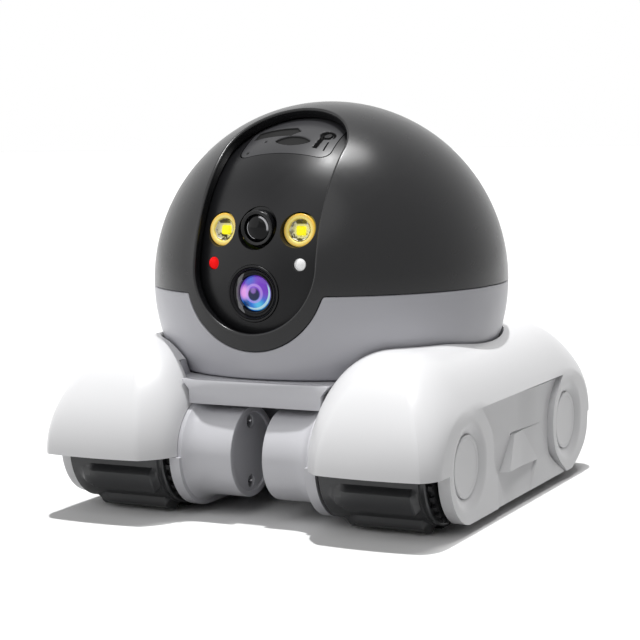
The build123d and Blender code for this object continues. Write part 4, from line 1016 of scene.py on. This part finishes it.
# Stage: pale floor, white surroundings, two lamps from above, fills at the left and the front
floor_mesh = bpy.data.meshes.new("floor")
FLOOR_REACH = 6.0
corners = [(FLOOR_REACH * a, FLOOR_REACH * b, 0) for a, b in ((-1, -1), (1, -1), (1, 1), (-1, 1))]
floor_mesh.from_pydata(corners, [], [(0, 1, 2, 3)])
floor = bpy.data.objects.new("floor", floor_mesh)
bpy.context.collection.objects.link(floor)
paper = Finish("floor_paper", (0.92, 0.92, 0.92), 0.95, Specular_IOR_Level=0.0)
bounced = Value(paper, paper.node("LightPath", {}).outputs["Is Diffuse Ray"])
paper.feed("Base Color", paper.blend(bounced, (0.95, 0.95, 0.95), (0.33, 0.33, 0.33)))
floor_mesh.materials.append(paper.material)

world = bpy.data.worlds.new("studio")
bpy.context.scene.world = world
world.use_nodes = True
air = world.node_tree
air.nodes.clear()
path = air.nodes.new("ShaderNodeLightPath")
shown = path.outputs["Is Camera Ray"]
for ray in ("Is Glossy Ray", "Is Transmission Ray"):
    add = air.nodes.new("ShaderNodeMath")
    add.operation, add.use_clamp = "ADD", True
    air.links.new(shown, add.inputs[0])
    air.links.new(path.outputs[ray], add.inputs[1])
    shown = add.outputs[0]
choose = air.nodes.new("ShaderNodeMixShader")
air.links.new(shown, choose.inputs[0])
for socket, strength in ((1, 0.17), (2, 1.0)):
    light = air.nodes.new("ShaderNodeBackground")
    light.inputs["Color"].default_value = (1, 1, 1, 1)
    light.inputs["Strength"].default_value = strength
    air.links.new(light.outputs[0], choose.inputs[socket])
air.links.new(choose.outputs[0], air.nodes.new("ShaderNodeOutputWorld").inputs[0])

# Far lamps with soft shadows, each shining from its azimuth (0 is the front) and height in degrees
for name, strength, spread, azimuth, elevation in (
        ("key", 2.3, 1.3, 215, 87.2), ("soft_top", 1.0, 18, 135, 81),
        ("fill_left", 0.75, 60, -48, 18), ("fill_front", 0.5, 45, 5, 46)):
    lamp = bpy.data.lights.new(name, "SUN")
    lamp.energy, lamp.angle = strength, math.radians(spread)
    holder = bpy.data.objects.new(name, lamp)
    bpy.context.collection.objects.link(holder)
    a, e = math.radians(azimuth), math.radians(elevation)
    back = Vector((math.sin(a) * math.cos(e), -math.cos(a) * math.cos(e), math.sin(e)))
    holder.rotation_mode = "QUATERNION"
    holder.rotation_quaternion = back.to_track_quat("Z", "Y")

# Camera where the photograph was taken from
CAMERA_SPOT, CAMERA_WAY, CAMERA_ROLL = (208.28, -422.1, 97.3), (-0.4454, 0.8887, -0.1087), -0.968
lens = bpy.data.cameras.new("camera")
lens.sensor_width, lens.lens = 36.0, 99.66
camera = bpy.data.objects.new("camera", lens)
bpy.context.collection.objects.link(camera)
forward = Vector(CAMERA_WAY).normalized()
right = forward.cross(Vector((0, 0, 1))).normalized()
up = right.cross(forward)
roll = math.radians(CAMERA_ROLL)
side = math.cos(roll) * right + math.sin(roll) * up
top = math.cos(roll) * up - math.sin(roll) * right
turn = Matrix((side, top, -forward)).transposed().to_4x4()
camera.matrix_world = Matrix.Translation(MM * Vector(CAMERA_SPOT)) @ turn
bpy.context.scene.camera = camera
bpy.context.scene.view_settings.view_transform = "Standard"
